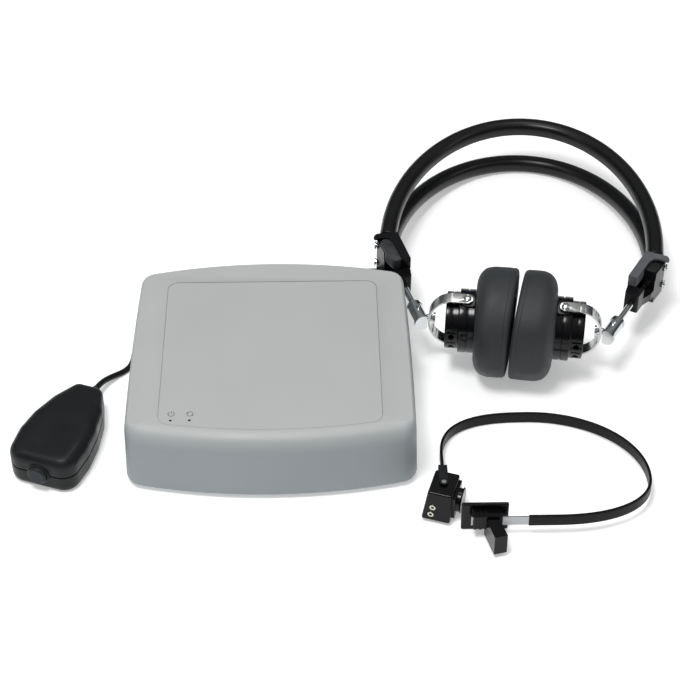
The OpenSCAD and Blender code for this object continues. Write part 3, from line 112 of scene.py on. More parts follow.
# %% The recipe for a finish
def finish(name, colour, rough, grain, depth, tint=0.06, cloud=12.0, metallic=0.0, ior=1.5,
           coat=0.0, sheen=0.0, uneven=0.15, upright_shade=None):
    """grain, depth and cloud are millimetres; tint and uneven are shares of colour and roughness.
    The upright colour is painted shade: faces take it on as they turn from facing up to standing
    upright."""
    material = bpy.data.materials.new(name)
    material.use_nodes = True
    tree = material.node_tree
    tree.nodes.clear()
    where = add(tree, "ShaderNodeTexCoord").outputs["Object"]
    fine = add(tree, "ShaderNodeTexNoise",
               {"Vector": where, "Scale": 1000 / grain, "Detail": 3.0}).outputs[0]
    soft = add(tree, "ShaderNodeTexNoise",
               {"Vector": where, "Scale": 1000 / cloud, "Detail": 4.0}).outputs[0]
    tone = add(tree, "ShaderNodeMapRange", {0: soft, 1: 0.3, 2: 0.7, 3: 0.0, 4: 1.0}).outputs[0]
    mixed = add(tree, "ShaderNodeMix",
                {0: tone, 6: linear(colour, 1 - tint), 7: linear(colour, 1 + tint)},
                data_type="RGBA").outputs[2]
    # painted shade: the colour darkens and turns bluer as a face tilts from facing up to standing
    # upright
    if upright_shade:
        normal = add(tree, "ShaderNodeNewGeometry").outputs["Normal"]
        shade_share = add(tree, "ShaderNodeSeparateXYZ", {0: normal}).outputs["Z"]
        shade_share = add(tree, "ShaderNodeMapRange",
                     {0: shade_share, 1: 0.15, 2: 0.9, 3: 1.0, 4: 0.0}).outputs[0]
        mixed = add(tree, "ShaderNodeMix", {0: shade_share, 6: mixed, 7: linear(upright_shade)},
                    data_type="RGBA").outputs[2]
    gloss = add(tree, "ShaderNodeMapRange", {0: soft, 1: 0.3, 2: 0.7, 3: rough * (1 - uneven),
                                             4: rough * (1 + uneven)}).outputs[0]
    bump = add(tree, "ShaderNodeBump",
               {"Height": fine, "Strength": 1.0, "Distance": depth / 1000}).outputs[0]
    shader = add(tree, "ShaderNodeBsdfPrincipled", {
        "Base Color": mixed, "Roughness": gloss, "Normal": bump, "Metallic": metallic, "IOR": ior,
        "Coat Weight": coat, "Coat Roughness": 0.12, "Sheen Weight": sheen})
    add(tree, "ShaderNodeOutputMaterial", {"Surface": shader.outputs[0]})
    return material


# %% [markdown]
# ## The plastics, rubbers and metals of the set
# The console is light grey ABS from a spark-eroded mould, which gives a fine matt grain. The
# headset and the bone set are glossier black mouldings. The yokes are satin nickel plate, the
# rods and bushes chrome plate, the strips spring steel and the cushions matt moulded rubber.

# %% The finishes
# spark-eroded mould: a fine matt grain that keeps the big top from shining; the upright faces carry
# painted shade, darker and bluer than the top
case_grey = finish("grained_grey_abs", "#B4B6B5", 0.52, 0.7, 0.018, tint=0.015, cloud=40,
                   upright_shade="#949B9E")
# the inset panel is smoother, so its edge shows as a change in the sheen
panel_grey = finish("smooth_grey_abs_panel", "#B4B6B5", 0.46, 0.5, 0.008, tint=0.012, cloud=50)
# the hidden side of the moulding is coarser and collects dust
tray_grey = finish("grained_grey_abs_base", "#8F9497", 0.6, 0.7, 0.02, tint=0.03, cloud=25)
rear_grey = finish("satin_grey_abs_rear", "#7E8387", 0.5, 0.6, 0.012, tint=0.03, cloud=25)
# a hand's grease makes the switch's gloss uneven
switch_black = finish("satin_black_abs", "#1C1D1F", 0.36, 0.6, 0.012, tint=0.12, cloud=14,
                      uneven=0.2, ior=1.28)
button_blue = finish("blue_grey_nylon_button", "#252B31", 0.42, 0.4, 0.008, tint=0.05, cloud=6,
                     ior=1.3)
ring_black = finish("matt_black_nylon", "#0A0A0B", 0.6, 0.4, 0.01, tint=0.1)
# compression-moulded and buffed: deep black under a thin gloss, with a slight ripple
gloss_black = finish("polished_black_phenolic", "#08080A", 0.2, 1.2, 0.004, tint=0.2, coat=0.15,
                     ior=1.3)
bone_black = finish("polished_black_abs", "#080809", 0.2, 1.0, 0.004, tint=0.1, coat=0.12, ior=1.28,
                    uneven=0.05)
# soft vinyl and PVC: broad highlights over a slight, even ripple
vinyl = finish("black_vinyl_sleeve", "#0C0C0D", 0.32, 1.6, 0.02, tint=0.12, cloud=18, ior=1.38)
shrink = finish("black_heat_shrink", "#080809", 0.4, 0.8, 0.01, tint=0.15, ior=1.28)
cord_black = finish("black_pvc_cord", "#0B0B0C", 0.4, 0.7, 0.012, tint=0.12, ior=1.35)
# rubber has almost no highlight, a fine pitted grain and a greyish bloom
cushion_rubber = finish("moulded_dark_rubber", "#292C2F", 0.62, 0.9, 0.03, tint=0.16, cloud=16,
                        sheen=0.02)
# moulded nylon: satin where it is new, pitted and patchy where it is worn
block_grey = finish("grey_satin_nylon_bracket", "#5B5D60", 0.42, 0.8, 0.02, tint=0.12, cloud=8)
inset_grey = finish("worn_grey_nylon_inset", "#303234", 0.5, 1.6, 0.08, tint=0.35, cloud=4)
block_dark = finish("black_nylon_block", "#0D0D0F", 0.26, 0.8, 0.008, tint=0.1, cloud=6, ior=1.32)
foot_rubber = finish("black_rubber_feet", "#202123", 0.8, 0.6, 0.03, tint=0.15)
# plating over polished steel: it shows the room, with faint clouds in the gloss
chrome = finish("polished_chrome_plate", "#D0D2D4", 0.14, 2.5, 0.001, tint=0.03, metallic=1.0,
                uneven=0.3)
nickel = finish("satin_nickel_plate", "#C2C3C2", 0.22, 0.6, 0.004, tint=0.06, metallic=1.0,
                uneven=0.4)
# the fork is blackened, and shows dark with bright edges
fork_dark = finish("blackened_nickel_plate", "#3C3D3F", 0.24, 0.6, 0.003, tint=0.1, metallic=1.0,
                   uneven=0.3)
# rolled strip: a satin metal with a fine grain; zinc plate is a little duller
spring = finish("rolled_spring_steel", "#A9ABAD", 0.3, 0.5, 0.006, tint=0.12, metallic=1.0,
                uneven=0.4)
zinc = finish("bright_zinc_screws", "#B3B6B8", 0.32, 0.5, 0.004, tint=0.1, metallic=1.0)
# the parts inside and in the sockets: lacquered board, cast epoxy, moulded nylon
board_green = finish("green_solder_mask", "#155A33", 0.3, 0.8, 0.006, tint=0.2, cloud=6, coat=0.3)
chip_black = finish("epoxy_components", "#1B1C1E", 0.5, 0.5, 0.01, tint=0.2, cloud=5)
socket_black = finish("moulded_socket_nylon", "#17181A", 0.42, 0.5, 0.01, tint=0.1)
# small parts on the outside: smoked plastic, tinned brass and screen ink
lens_dark = finish("smoked_light_guide", "#1C1E20", 0.15, 1.0, 0.002, tint=0.1, coat=0.3)
ring_tin = finish("tinned_socket_rings", "#D2CEC2", 0.28, 0.4, 0.004, tint=0.08, metallic=1.0)
ink = finish("grey_print_ink", "#303437", 0.55, 0.3, 0.004, tint=0.08)
print("made", len(bpy.data.materials), "materials")

# %% [markdown]
# ## From millimetres to the frame
# Shapes are easiest to draw in millimetres in the part's own directions, the way a toolmaker
# would: a handset along its length, a headset flat on its plane. A matrix then carries each
# finished mesh to its place. The frames below repeat the turns and tips of the solids.


# %% Frames
def shift(x, y, z):
    return Matrix.Translation((x, y, z))


def spin(angle, axis):
    return Matrix.Rotation(radians(angle), 4, axis)


PIVOT_X = 28.6  # of the pivots that the earphones tilt on, from the headset's middle
BAND_PIVOT_Y = 60  # of the rivets that the bands turn on
HEAD = shift(143.5, 30, 33) @ spin(-8, "Z") @ spin(-3.15066, "X")
UPPER = HEAD @ shift(0, BAND_PIVOT_Y, 6.3) @ spin(2.6, "X") @ shift(0, -BAND_PIVOT_Y, 0)
LOWER = HEAD @ shift(0, BAND_PIVOT_Y, -6.3) @ spin(-4.2, "X") @ shift(0, -BAND_PIVOT_Y, 0)
SWITCH = shift(-130.2, -67.2, 0) @ spin(-19.6, "Z")
HOOP = shift(0, -106, 10.9) @ spin(-4.7, "X") @ shift(0, 106, 0)


def handed(s):
    """The right side as drawn, or its mirror image for the left."""
    return Matrix.Scale(s, 4, (1, 0, 0)) if s < 0 else Matrix.Identity(4)


def rod_frame(s):
    return HEAD @ handed(s) @ shift(56.4, 0, 0) @ spin(-22.7, "Z")


def yoke_frame(s):
    return HEAD @ spin(16, "X") @ handed(s)


def ear_frame(s):
    return yoke_frame(s) @ shift(PIVOT_X, 0, 0) @ spin(-1, "Z") @ shift(-PIVOT_X, 0, 0)


# %% [markdown]
# ## Mesh helpers
# A few shapes come back all the time: a skin over rings of points, a turned body, an outline
# with rounded corners, and a cut. Each helper makes a closed body whose faces point outwards.
# `settle` puts the body in its place, lets it ride and hides the solids that it stands for.


# %% Mesh helpers
def solid(name, points, faces, material, edges=()):
    mesh = bpy.data.meshes.new(name)
    mesh.from_pydata([tuple(p) for p in points], list(edges), faces)
    if faces:
        work = bmesh.new()
        work.from_mesh(mesh)
        bmesh.ops.recalc_face_normals(work, faces=work.faces)
        work.to_mesh(mesh)
        work.free()
    if material:
        mesh.materials.append(material)
    made = bpy.data.objects.new(name, mesh)
    bpy.context.scene.collection.objects.link(made)
    return made


def skin(name, rings, material, loop=False):
    """A closed body over rings of points: capped at both ends, or closed on itself."""
    n, m = len(rings[0]), len(rings)
    faces = [(j * n + i, j * n + (i + 1) % n, (j + 1) % m * n + (i + 1) % n, (j + 1) % m * n + i)
             for j in range(m if loop else m - 1) for i in range(n)]
    if not loop:
        faces += [tuple(reversed(range(n))), tuple(range((m - 1) * n, m * n))]
    return solid(name, [p for r in rings for p in r], faces, material)


def turned(name, profile, material, loop=False, sides=96):
    """A body turned about X from points (x, radius)."""
    return skin(name, [[(x, r * cos(2 * math.pi * i / sides), r * sin(2 * math.pi * i / sides))
                        for i in range(sides)] for x, r in profile if r > 0.01], material, loop)


def eased(points, radius, steps=4, loop=False):
    """The outline with each corner rounded over the given length."""
    out = []
    for i, p in enumerate(points):
        if not loop and i in (0, len(points) - 1):
            out.append(tuple(p))
            continue
        a, b, c = Vector(points[i - 1]), Vector(p), Vector(points[(i + 1) % len(points)])
        r = min(radius, (a - b).length * 0.48, (c - b).length * 0.48)
        s, e = b + (a - b).normalized() * r, b + (c - b).normalized() * r
        out += [tuple((1 - t) ** 2 * s + 2 * t * (1 - t) * b + t * t * e)
                for t in (k / steps for k in range(steps + 1))]
    return out


def bake(obj):
    """Turns the object's modifiers into its mesh."""
    done = bpy.data.meshes.new_from_object(obj.evaluated_get(bpy.context.evaluated_depsgraph_get()))
    obj.modifiers.clear()
    obj.data = done
    return obj


def carve(body, *cutters, how="DIFFERENCE"):
    for cutter in cutters:
        cut = body.modifiers.new("cut", "BOOLEAN")
        cut.operation, cut.object, cut.solver = how, cutter, "EXACT"
    bake(body)
    for cutter in cutters:
        bpy.data.objects.remove(cutter)
    return body


def prism(name, outline, z0, z1, material=None):
    return skin(name, [[(x, y, z) for x, y in outline] for z in (z0, z1)], material)


def block(x0, y0, z0, x1, y1, z1):
    return prism("block", [(x0, y0), (x1, y0), (x1, y1), (x0, y1)], z0, z1)


def round_bar(axis, r, a, b, at=(0, 0, 0), sides=48):
    """A cylinder along X, Y or Z from a to b, set off by a point."""
    made = turned("bar", [(a, r), (b, r)], None, sides=sides)
    if axis != "X":
        made.data.transform(Matrix.Rotation(math.pi / 2, 4, "Z") if axis == "Y"
                            else Matrix.Rotation(-math.pi / 2, 4, "Y"))
    made.data.transform(Matrix.Translation(at))
    return made


def merged(name, parts, material):
    """Several closed bodies as one object."""
    points, faces = [], []
    for part in parts:
        faces += [[len(points) + v for v in f.vertices] for f in part.data.polygons]
        points += [v.co.copy() for v in part.data.vertices]
        bpy.data.objects.remove(part)
    return solid(name, points, faces, material)


def soften(obj, width, segments=2, angle=35):
    """A small round on every crisp edge, as a mould or a tumbler leaves it."""
    edge = obj.modifiers.new("edge", "BEVEL")
    edge.width, edge.segments, edge.limit_method = width, segments, "ANGLE"
    edge.angle_limit, edge.harden_normals = radians(angle), False
    return bake(obj)


def settle(obj, place, *stands_for, on=None, angle=32, flat=False):
    """Carries a finished body from millimetres to its place, and lets it ride."""
    if place is not None:
        obj.data.transform(Matrix.Scale(0.001, 4) @ place)
        if place.determinant() < 0:
            obj.data.flip_normals()
    obj.data.shade_smooth()
    obj.data.set_sharp_from_angle(angle=radians(angle))
    if flat:
        obj.modifiers.new("flats", "WEIGHTED_NORMAL").keep_sharp = True
        bake(obj)
    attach(obj, body_with[on or stands_for[0]])
    if stands_for:
        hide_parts(*stands_for)
    print(obj.name, len(obj.data.polygons), "faces")
    return obj


# %% [markdown]
# ## The lead of the response switch
# The lead leaves the switch's tail, drops to the table and goes behind the console. What the
# photograph doesn't show of it lies there in a hank, and its plug sits in the first socket. It
# is one line: the route to the hank, six passes round it, and the way up into the plug. The
# passes lie two side by side and three high, and change their layer in the left-hand fold.


# %% The cord's route
def through(points, steps):
    """A smooth line through given points."""
    out = []
    for i in range(len(points) - 1):
        a, b, c, d = (Vector(points[min(max(i + k, 0), len(points) - 1)]) for k in (-1, 0, 1, 2))
        out += [0.5 * (2 * b + (c - a) * t + (2 * a - 5 * b + 4 * c - d) * t * t
                       + (3 * b - a - 3 * c + d) * t ** 3)
                for t in (k / steps for k in range(steps))]
    return out + [Vector(points[-1])]


CORD_D = 3.6
way_out = SWITCH @ Vector((0, 77, 8))
route_out = [way_out, (-102.6, 10, 7), (-100.6, 14.4, 5.6), (-97.6, 18.8, 4), (-94, 22.8, 2.6),
             (-90.6, 26, 1.8), (-87.4, 29.6, 1.8), (-85.6, 34, 1.8), (-84.8, 40, 1.8),
             (-84.4, 48, 1.8), (-84.2, 58, 1.8), (-83.4, 67, 1.8), (-80.5, 75, 1.8),
             (-75, 82.4, 1.8), (-66, 89, 1.8), (-54, 94.8, 1.8), (-40, 100, 1.8),
             (-25, 104.8, 1.8), (-13, 107.8, 1.8), (-4, 109, 1.8)]
plug_leg = (cos(radians(35)), 0, -sin(radians(35)))
plug_at = Vector((-48, 78.5, 20))
route_in = [(-3, 83.6, 1.8), (-10, 81.6, 1.8), (-16.5, 79.8, 1.8), (-21.5, 79, 2.7),
            (-26, 78.6, 4.6), plug_at + 22 * Vector(plug_leg), plug_at + 16 * Vector(plug_leg)]
HANK_X, HANK_Y, HANK_RUN, HANK_RADII = 34, 95, 60, (14.4, 10.8)
seats = [(0, 0), (0, 1), (0, 2), (1, 2), (1, 1), (1, 0)]


def hank_pass(k):
    """One pass: the far run, the right fold, the near run and the left fold to the next seat."""
    (ring, layer), last = seats[k], k == len(seats) - 1
    r, z = HANK_RADII[ring], CORD_D * (layer + 0.5)
    left, right = HANK_X - HANK_RUN / 2, HANK_X + HANK_RUN / 2
    out = [Vector((left + HANK_RUN * i / 12, HANK_Y + r, z)) for i in range(12)]
    out += [Vector((right + r * sin(a), HANK_Y + r * cos(a), z))
            for a in (math.pi * i / 20 for i in range(20))]
    stop = left + 5 if last else left
    out += [Vector((right + (stop - right) * i / 12, HANK_Y - r, z)) for i in range(13)]
    if not last:
        ring2, layer2 = seats[k + 1]
        for i in range(1, 24):
            a = math.pi * i / 24
            t = min(max((i / 24 - 0.28) / 0.5, 0), 1)
            t = t * t * (3 - 2 * t)
            r2 = r + (HANK_RADII[ring2] - r) * t
            hump = 1.3 * sin(math.pi * t) if ring2 != ring else 0
            z2 = z + CORD_D * (layer2 - layer) * t + hump
            out.append(Vector((left - r2 * sin(a), HANK_Y - r2 * cos(a), z2)))
    return out


line = through(route_out, 5)[:-1]
for k in range(len(seats)):
    line += hank_pass(k)
line += through([line[-1]] + route_in, 5)[1:]

# %% [markdown]
# ## Making the cord
# A round curve is the right tool: its line stays the centreline, so its length can be read off,
# and a bevel gives it its thickness. It replaces the three solids that hold its place.

# %% The cord
curve = bpy.data.curves.new("response_lead", "CURVE")
curve.dimensions = "3D"
curve.bevel_depth = CORD_D / 2000
curve.bevel_resolution = 5
strand = curve.splines.new("POLY")
strand.points.add(len(line) - 1)
for spot, p in zip(strand.points, line):
    spot.co = (p.x / 1000, p.y / 1000, p.z / 1000, 1)
strand.use_smooth = True
curve.use_fill_caps = True
curve.materials.append(cord_black)
lead = bpy.data.objects.new("response_lead", curve)
bpy.context.scene.collection.objects.link(lead)
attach(lead, body_with["response_cord"])
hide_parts("response_cord", "response_hank", "response_cord_end")

# %% [markdown]
# ## Better finishes on the solids that stay
# Many solids have the right shape already, such as screws, sockets and the board. They keep
# their meshes and only get the material of the real thing.

# %% Finishes by node
for material, names in (
        (tray_grey, "base_tray"), (rear_grey, "rear_panel"),
        (board_green, "main_board"), (chip_black, "board_parts press_switch"),
        (socket_black, "jack_response jack_bone jack_left jack_right response_plug"),
        (nickel, "jack_nuts usb_socket left_driver right_driver vibrator_motor"),
        (foot_rubber, "console_feet hank_tie"), (zinc, "case_screws board_screws handset_screws"),
        (ring_black, "button_ring handset_relief"), (ring_tin, "lead_sockets"),
        (chrome, "band_rivets left_rod right_rod vibrator_pins"),
        (fork_dark, "vibrator_fork"), (bone_black, "vibrator_face")):
    for name in names.split():
        for i in range(max(1, len(nodes[name].data.materials))):
            if nodes[name].data.materials:
                nodes[name].data.materials[i] = material
            else:
                nodes[name].data.materials.append(material)
print("finishes assigned")

# %% [markdown]
# ## The console's cover
# The cover is a shallow ABS moulding with bowed edges. Its sides stand almost straight and its
# front rolls over a wider curve into the top. It is a skin over rings: each ring is the plan
# outline pulled in by an amount that grows towards the top, more at the front than elsewhere.

# %% The plan outline
CON_W, CON_WB, CON_D, CROWN, SIDE_BOW, CORNER, CON_H = 164, 160.4, 140, 8, 0.8, 11, 44.5


def arc(centre, r, a0, a1, n, g, f, first=1):
    """Points on an arc, pulled in by g, and by f where it faces the front."""
    out = []
    for i in range(first, n + 1):
        a = a0 + (a1 - a0) * i / n
        q = r - (g + (f - g) * max(0, -sin(a)) ** 2)
        out.append((centre[0] + q * cos(a), centre[1] + q * sin(a)))
    return out


def case_outline(g, f, z=None, n=16):
    pfx, pbx, pfy = CON_W / 2 - CORNER, CON_WB / 2 - CORNER, -(CON_D / 2 - CORNER)
    yf = (pfx * pfx / CROWN - CON_D + 2 * CORNER - CROWN) / 2
    yb = (pbx * pbx / CROWN - CON_D + 2 * CORNER - CROWN) / 2
    chord = math.hypot(pfx - pbx, 2 * pfy)
    rs = (chord * chord / 4 + SIDE_BOW * SIDE_BOW) / (2 * SIDE_BOW)
    d = (-2 * pfy / chord, (pfx - pbx) / chord)
    c = ((pfx + pbx) / 2 - d[0] * (rs - SIDE_BOW), -d[1] * (rs - SIDE_BOW))
    af, ab = math.atan2(pfy - yf, pfx), math.atan2(-pfy + yb, pbx)
    s0, s1 = math.atan2(pfy - c[1], pfx - c[0]), math.atan2(-pfy - c[1], pbx - c[0])
    half = (arc((0, yf), yf + CON_D / 2 + CROWN, -math.pi / 2, af, n, g, f, 0)
            + arc((pfx, pfy), CORNER, af, s0, n, g, f) + arc(c, rs + CORNER, s0, s1, n, g, f)
            + arc((pbx, -pfy), CORNER, s1, ab, n, g, f)
            + arc((0, -yb), yb + CON_D / 2 + CROWN, ab, math.pi / 2, n, g, f))
    ring = half + [(-x, y) for x, y in half[-2:0:-1]]
    return ring if z is None else [(x, y, z) for x, y in ring]


def panel_outline(g, n=16):
    hw, front, bow, rear, r = 62, -62.3, 4.8, 58, 6
    pcx, pcy = hw - r, front + r
    py = pcy + (pcx * pcx - bow * bow) / (2 * bow)
    half = (arc((0, py), py - front + bow + g, -math.pi / 2, math.atan2(pcy - py, pcx), n, 0, 0, 0)
            + arc((pcx, pcy), r + g, math.atan2(pcy - py, pcx), 0, n, 0, 0)
            + arc((pcx, rear - r), r + g, 0, math.pi / 2, n, 0, 0, 0))
    return half + [(-x, y) for x, y in half[-1:0:-1]]


print("outline points", len(case_outline(0, 0)), "panel", len(panel_outline(0)))

# %% [markdown]
# ## Rolling the cover over its edges
# The rings follow a smooth line through a few stations of the real roll. Then the inside, the
# window for the sockets, the shallow pocket for the panel and the two light holes are cut out.

# %% The cover
# each station is the pull-in at the sides, the pull-in at the front and the height
roll = through([(0.7, 0.2, 24.5), (0.95, 0.6, 32.5), (1.1, 1.3, 36.5), (1.3, 2.5, 39.5),
                (1.7, 4.2, 41.9), (2.3, 6.2, 43.4), (3.0, 8.2, 44.25), (3.5, 9.6, 44.5),
                (3.8, 10.2, 44.5)], 4)
cover = skin("cover_shell", [case_outline(g, f, z) for g, f, z in [
    (1.1, 1.2, 3), (0.5, 0.55, 3.3), (0.2, 0.2, 4), (0, 0, 5.2), (0.35, 0.05, 16)] + roll],
    case_grey)
inside = skin("inside", [case_outline(g, f, z, 6) for g, f, z in [
    (2.5, 2.5, 2), (3.0, 2.9, 30.5), (3.3, 4.6, 37.5), (4.2, 7.6, 40.9), (5.4, 10.5, 42)]], None)
LIGHTS = ((-55, -59.4, "power_light"), (-44.5, -59.4, "status_light"))
holes = [round_bar("Z", 1.1, 30, 50, (x, y, 0)) for x, y, name in LIGHTS]
carve(cover, inside, block(-57, 60, 9, 57, 90, 30.5),
      prism("pocket", panel_outline(0.22), 43.4, 50), *holes)
soften(cover, 0.18, 2, 50)
settle(cover, Matrix.Identity(4), "top_cover", angle=30)
panel = skin("inset_panel", [[(x, y, z) for x, y in panel_outline(g, 24)] for g, z in (
    (0.15, 43.4), (0.15, 44.1), (0, 44.15), (0, 44.35), (-0.15, 44.5))], panel_grey)
carve(panel, *[round_bar("Z", 0.8, 40, 50, (x, y, 0)) for x, y, name in LIGHTS])
settle(panel, Matrix.Identity(4), "top_panel")
for x, y, name in LIGHTS:
    lens = turned(name + "_lens", eased([(43.6, 0), (43.6, 0.75), (44.4, 0.75), (44.4, 0)], 0.2),
                  lens_dark, sides=32)
    lens.data.transform(Matrix.Rotation(-math.pi / 2, 4, "Y"))
    settle(lens, shift(x, y, 0), name)

# %% [markdown]
# ## Solids with softened edges
# A moulding never has a knife edge. For a solid whose shape is right but crisp, a copy is
# merged, its flat faces are cleaned, and every sharp edge gets a small round that catches light.


# %% Copies of solids with rounded edges
def dressed(node, material, width, name, segments=2, cuts=()):
    """A copy of a node's solid with its edges rounded by a width in millimetres."""
    work = bmesh.new()
    work.from_mesh(nodes[node].data)
    bmesh.ops.remove_doubles(work, verts=work.verts, dist=2e-6)
    bmesh.ops.dissolve_limit(work, angle_limit=radians(0.6), verts=work.verts, edges=work.edges)
    mesh = bpy.data.meshes.new(name)
    work.to_mesh(mesh)
    work.free()
    mesh.materials.clear()
    mesh.materials.append(material)
    made = bpy.data.objects.new(mesh.name, mesh)
    bpy.context.scene.collection.objects.link(made)
    if cuts:
        carve(made, *cuts)
    soften(made, width / 1000, segments)
    return settle(made, None, node, flat=True)


dressed("push_button", button_blue, 0.25, "button_cap", segments=3)

# %% [markdown]
# ## Slide blocks and their brackets
# A bracket lies along each block and ends in a curled lip, and an inset lies beside it. The right
# bracket is grey and the left one black, and the insets are the other way round. The right inset's
# matt black is painted shade: it stands for the shade in the recess under the lip. The block itself
# is cut deeper than its solid, which leaves the upper band room to fan.

# %% Slide blocks
# heights in the rod's own frame: the arm's underside, the lip's underside and their top
ARM_LOW, LIP_LOW, ARM_HIGH = 5.6, 11.7, 12.9
ARM = [(-7.2, 69.4), (-6.9, 41), (-1.6, 41), (-1.2, 60), (0.4, 66), (-2, 70)]
LIP = [(-6.9, 62), (-1.6, 60), (-0.6, 63.6), (2.4, 65.8), (8.6, 66), (9, 67.6), (6.5, 71),
       (-7.2, 69.4)]
# each inset's outline, its lower and upper height, and its finish
INSETS = {
    "left": ([(-1.8, 42), (3.8, 42), (6, 50), (6.4, 62), (3.4, 65.4), (0, 64.4), (-1.4, 60)],
             5.7, 12.2, inset_grey),
    # painted shade: the right inset's matt black stands for the shade in the recess under the lip
    "right": ([(-0.8, 53.6), (5.4, 53.6), (5.8, 61), (2.4, 64), (-0.6, 61)],
              10.5, 11.4, ring_black)}
for s, side in ((-1, "left"), (1, "right")):
    deeper = block(76.6, 66.2, -30, 88.6, 100, 30)
    deeper.data.transform(Matrix.Scale(0.001, 4) @ HEAD @ handed(s))
    dressed(side + "_block", block_dark, 0.45, side + "_slide_block", 3, cuts=[deeper])
    arm = prism(side + "_block_bracket", ARM, ARM_LOW, ARM_HIGH,
                block_grey if s > 0 else block_dark)
    lip = prism("lip", eased(LIP, 1.6, 4, True), LIP_LOW, ARM_HIGH)
    soften(carve(arm, lip, how="UNION"), 0.4, 3, 30)
    settle(arm, rod_frame(s), on=side + "_block", flat=True)
    outline, low, high, colour = INSETS[side]
    inset = prism(side + "_block_inset", eased(outline, 1.5, 4, True), low, high, colour)
    settle(soften(inset, 0.25), rod_frame(s), on=side + "_block")
    dressed(side + "_bush", chrome, 0.2, side + "_bush_turned")

# %% The bone set's two mouldings
dressed("vibrator_case", bone_black, 0.35, "vibrator_moulding", 3)
dressed("temple_pad", bone_black, 0.45, "temple_pad_moulding", 3)

# %% [markdown]
# ## Printed marks
# Beside the two lights the panel carries thin printed signs: the common sign for power and a
# ring of two arrows for activity. They are ink, so they are made as flat shapes only a few
# hundredths of a millimetre thick.


# %% The two printed signs
def stroke(points, width):
    """A flat strip along a plan line."""
    left, right = [], []
    for i, p in enumerate(points):
        ahead, behind = points[min(i + 1, len(points) - 1)], points[max(i - 1, 0)]
        d = (Vector(ahead) - Vector(behind)).normalized()
        left.append((p[0] - d.y * width / 2, p[1] + d.x * width / 2))
        right.append((p[0] + d.y * width / 2, p[1] - d.x * width / 2))
    return right + left[::-1]


def bow_line(cx, cy, r, a0, a1, n=20):
    return [(cx + r * cos(radians(a0 + (a1 - a0) * i / n)),
             cy + r * sin(radians(a0 + (a1 - a0) * i / n)))
            for i in range(n + 1)]


POWER_SIGN, RING_SIGN = (-54.8, -54.3), (-44.4, -54.4)
signs = [stroke(bow_line(*POWER_SIGN, 1.75, 125, 415), 0.34),
         stroke([(POWER_SIGN[0], -54.1), (POWER_SIGN[0], -52.1)], 0.34)]
for start in (20, 200):
    signs.append(stroke(bow_line(*RING_SIGN, 1.7, start, start + 130), 0.3))
    tip = radians(start + 165)
    base = [bow_line(*RING_SIGN, q, start + 128, start + 128, 1)[0] for q in (1.1, 2.3)]
    signs.append([*base, (RING_SIGN[0] + 1.7 * cos(tip), RING_SIGN[1] + 1.7 * sin(tip))])
printed = merged("printed_signs",
                 [prism("sign", s, CON_H - 0.01, CON_H + 0.03) for s in signs], ink)
settle(printed, Matrix.Identity(4), on="top_panel")

# %% [markdown]
# ## The response switch
# The switch is a rounded wedge in two halves, broad at the button and narrow at the lead. Each
# half could be lofted, but the real form is what is left when flat faces meet big soft edges. A
# hull over ten round pucks gives it, and a fine remesh with a few passes of smoothing melts the
# edges together. Two cuts then part it along its dark joint line.


# %% The switch's body
def pod(g, name="pod", material=None, fine=True):
    """The switch's form pulled in by g; the coarse form is only used as a cutter."""
    points = []
    et, eb = 6 - g, max(4 - g, 0.5)
    for s in (-1, 1):
        for x, y, r, h, t in (
                (11, 9.5, 9.5, 23.8, et), (10.5, 21, 10.8, 24.3, et), (9.6, 34, 10.4, 23.7, et),
                (8, 50, 8.4, 21.8, et), (5, 65, 5, 19.5, min(et, 4.9 - g))):
            r, z1 = r - g, h - g
            edge = [(r - eb + eb * sin(a), g + eb - eb * cos(a))
                    for a in (radians(15 * i) for i in range(7))]
            edge += [(r - t + t * cos(a), z1 - t + t * sin(a))
                     for a in (radians(15 * i) for i in range(7))]
            points += [(s * x + q * cos(a), y + q * sin(a), z) for q, z in edge
                       for a in (2 * math.pi * k / 40 for k in range(40))]
    work = bmesh.new()
    for p in points:
        work.verts.new(p)
    hull = bmesh.ops.convex_hull(work, input=work.verts)
    bmesh.ops.delete(work,
                     geom=[v for v in hull["geom_interior"] if isinstance(v, bmesh.types.BMVert)],
                     context="VERTS")
    mesh = bpy.data.meshes.new(name)
    work.to_mesh(mesh)
    work.free()
    if material:
        mesh.materials.append(material)
    made = bpy.data.objects.new(name, mesh)
    bpy.context.scene.collection.objects.link(made)
    if fine:
        again = made.modifiers.new("even", "REMESH")
        again.mode, again.voxel_size, again.use_smooth_shade = "VOXEL", 0.75, True
        melt = made.modifiers.new("melt", "SMOOTH")
        melt.factor, melt.iterations = 0.5, 10
        bake(made)
    return made


for name, node, low, high, button, flange in (
        ("switch_upper_shell", "handset_top", -5, 12.5, 6, 0),
        ("switch_lower_shell", "handset_base", 11.5, 60, 3, 1)):
    shell = pod(0, name=name, material=switch_black)
    cuts = [pod(2.2, fine=False), block(-40, -20, low, 40, 100, high),
            round_bar("Y", 6.8, -6, button, (0, 0, 12)), round_bar("Y", 3, 62, 76, (0, 0, 8))]
    if flange:
        cuts += [round_bar("Y", 7.5, 2, 12, (0, 0, 12))]
        cuts += [round_bar("Z", 2.3, -1, 1.6, (x, y, 0)) for x, y in ((-12, 21), (12, 21), (0, 54))]
    carve(shell, *cuts)
    soften(shell, 0.15, 2, 55)
    settle(shell, SWITCH, node, angle=40)
lip = pod(1.1, name="switch_joint_lip", material=ring_black, fine=False)
carve(lip, block(-40, -20, -5, 40, 100, 11), block(-40, -20, 13, 40, 100, 60), pod(2.1, fine=False),
      round_bar("Y", 6.8, -6, 6, (0, 0, 12)))
settle(lip, SWITCH, on="handset_base", angle=40)

# %% [markdown]
# ## Sleeves and strips along a path
# The bands of the headset and the hoop of the bone vibrator are the same idea twice: a spring
# strip bent to a rule, inside a sleeve. Geometry Nodes suit this well. The tree below takes a
# path, lays a section across it whose squareness is an input, and hands back a closed body.

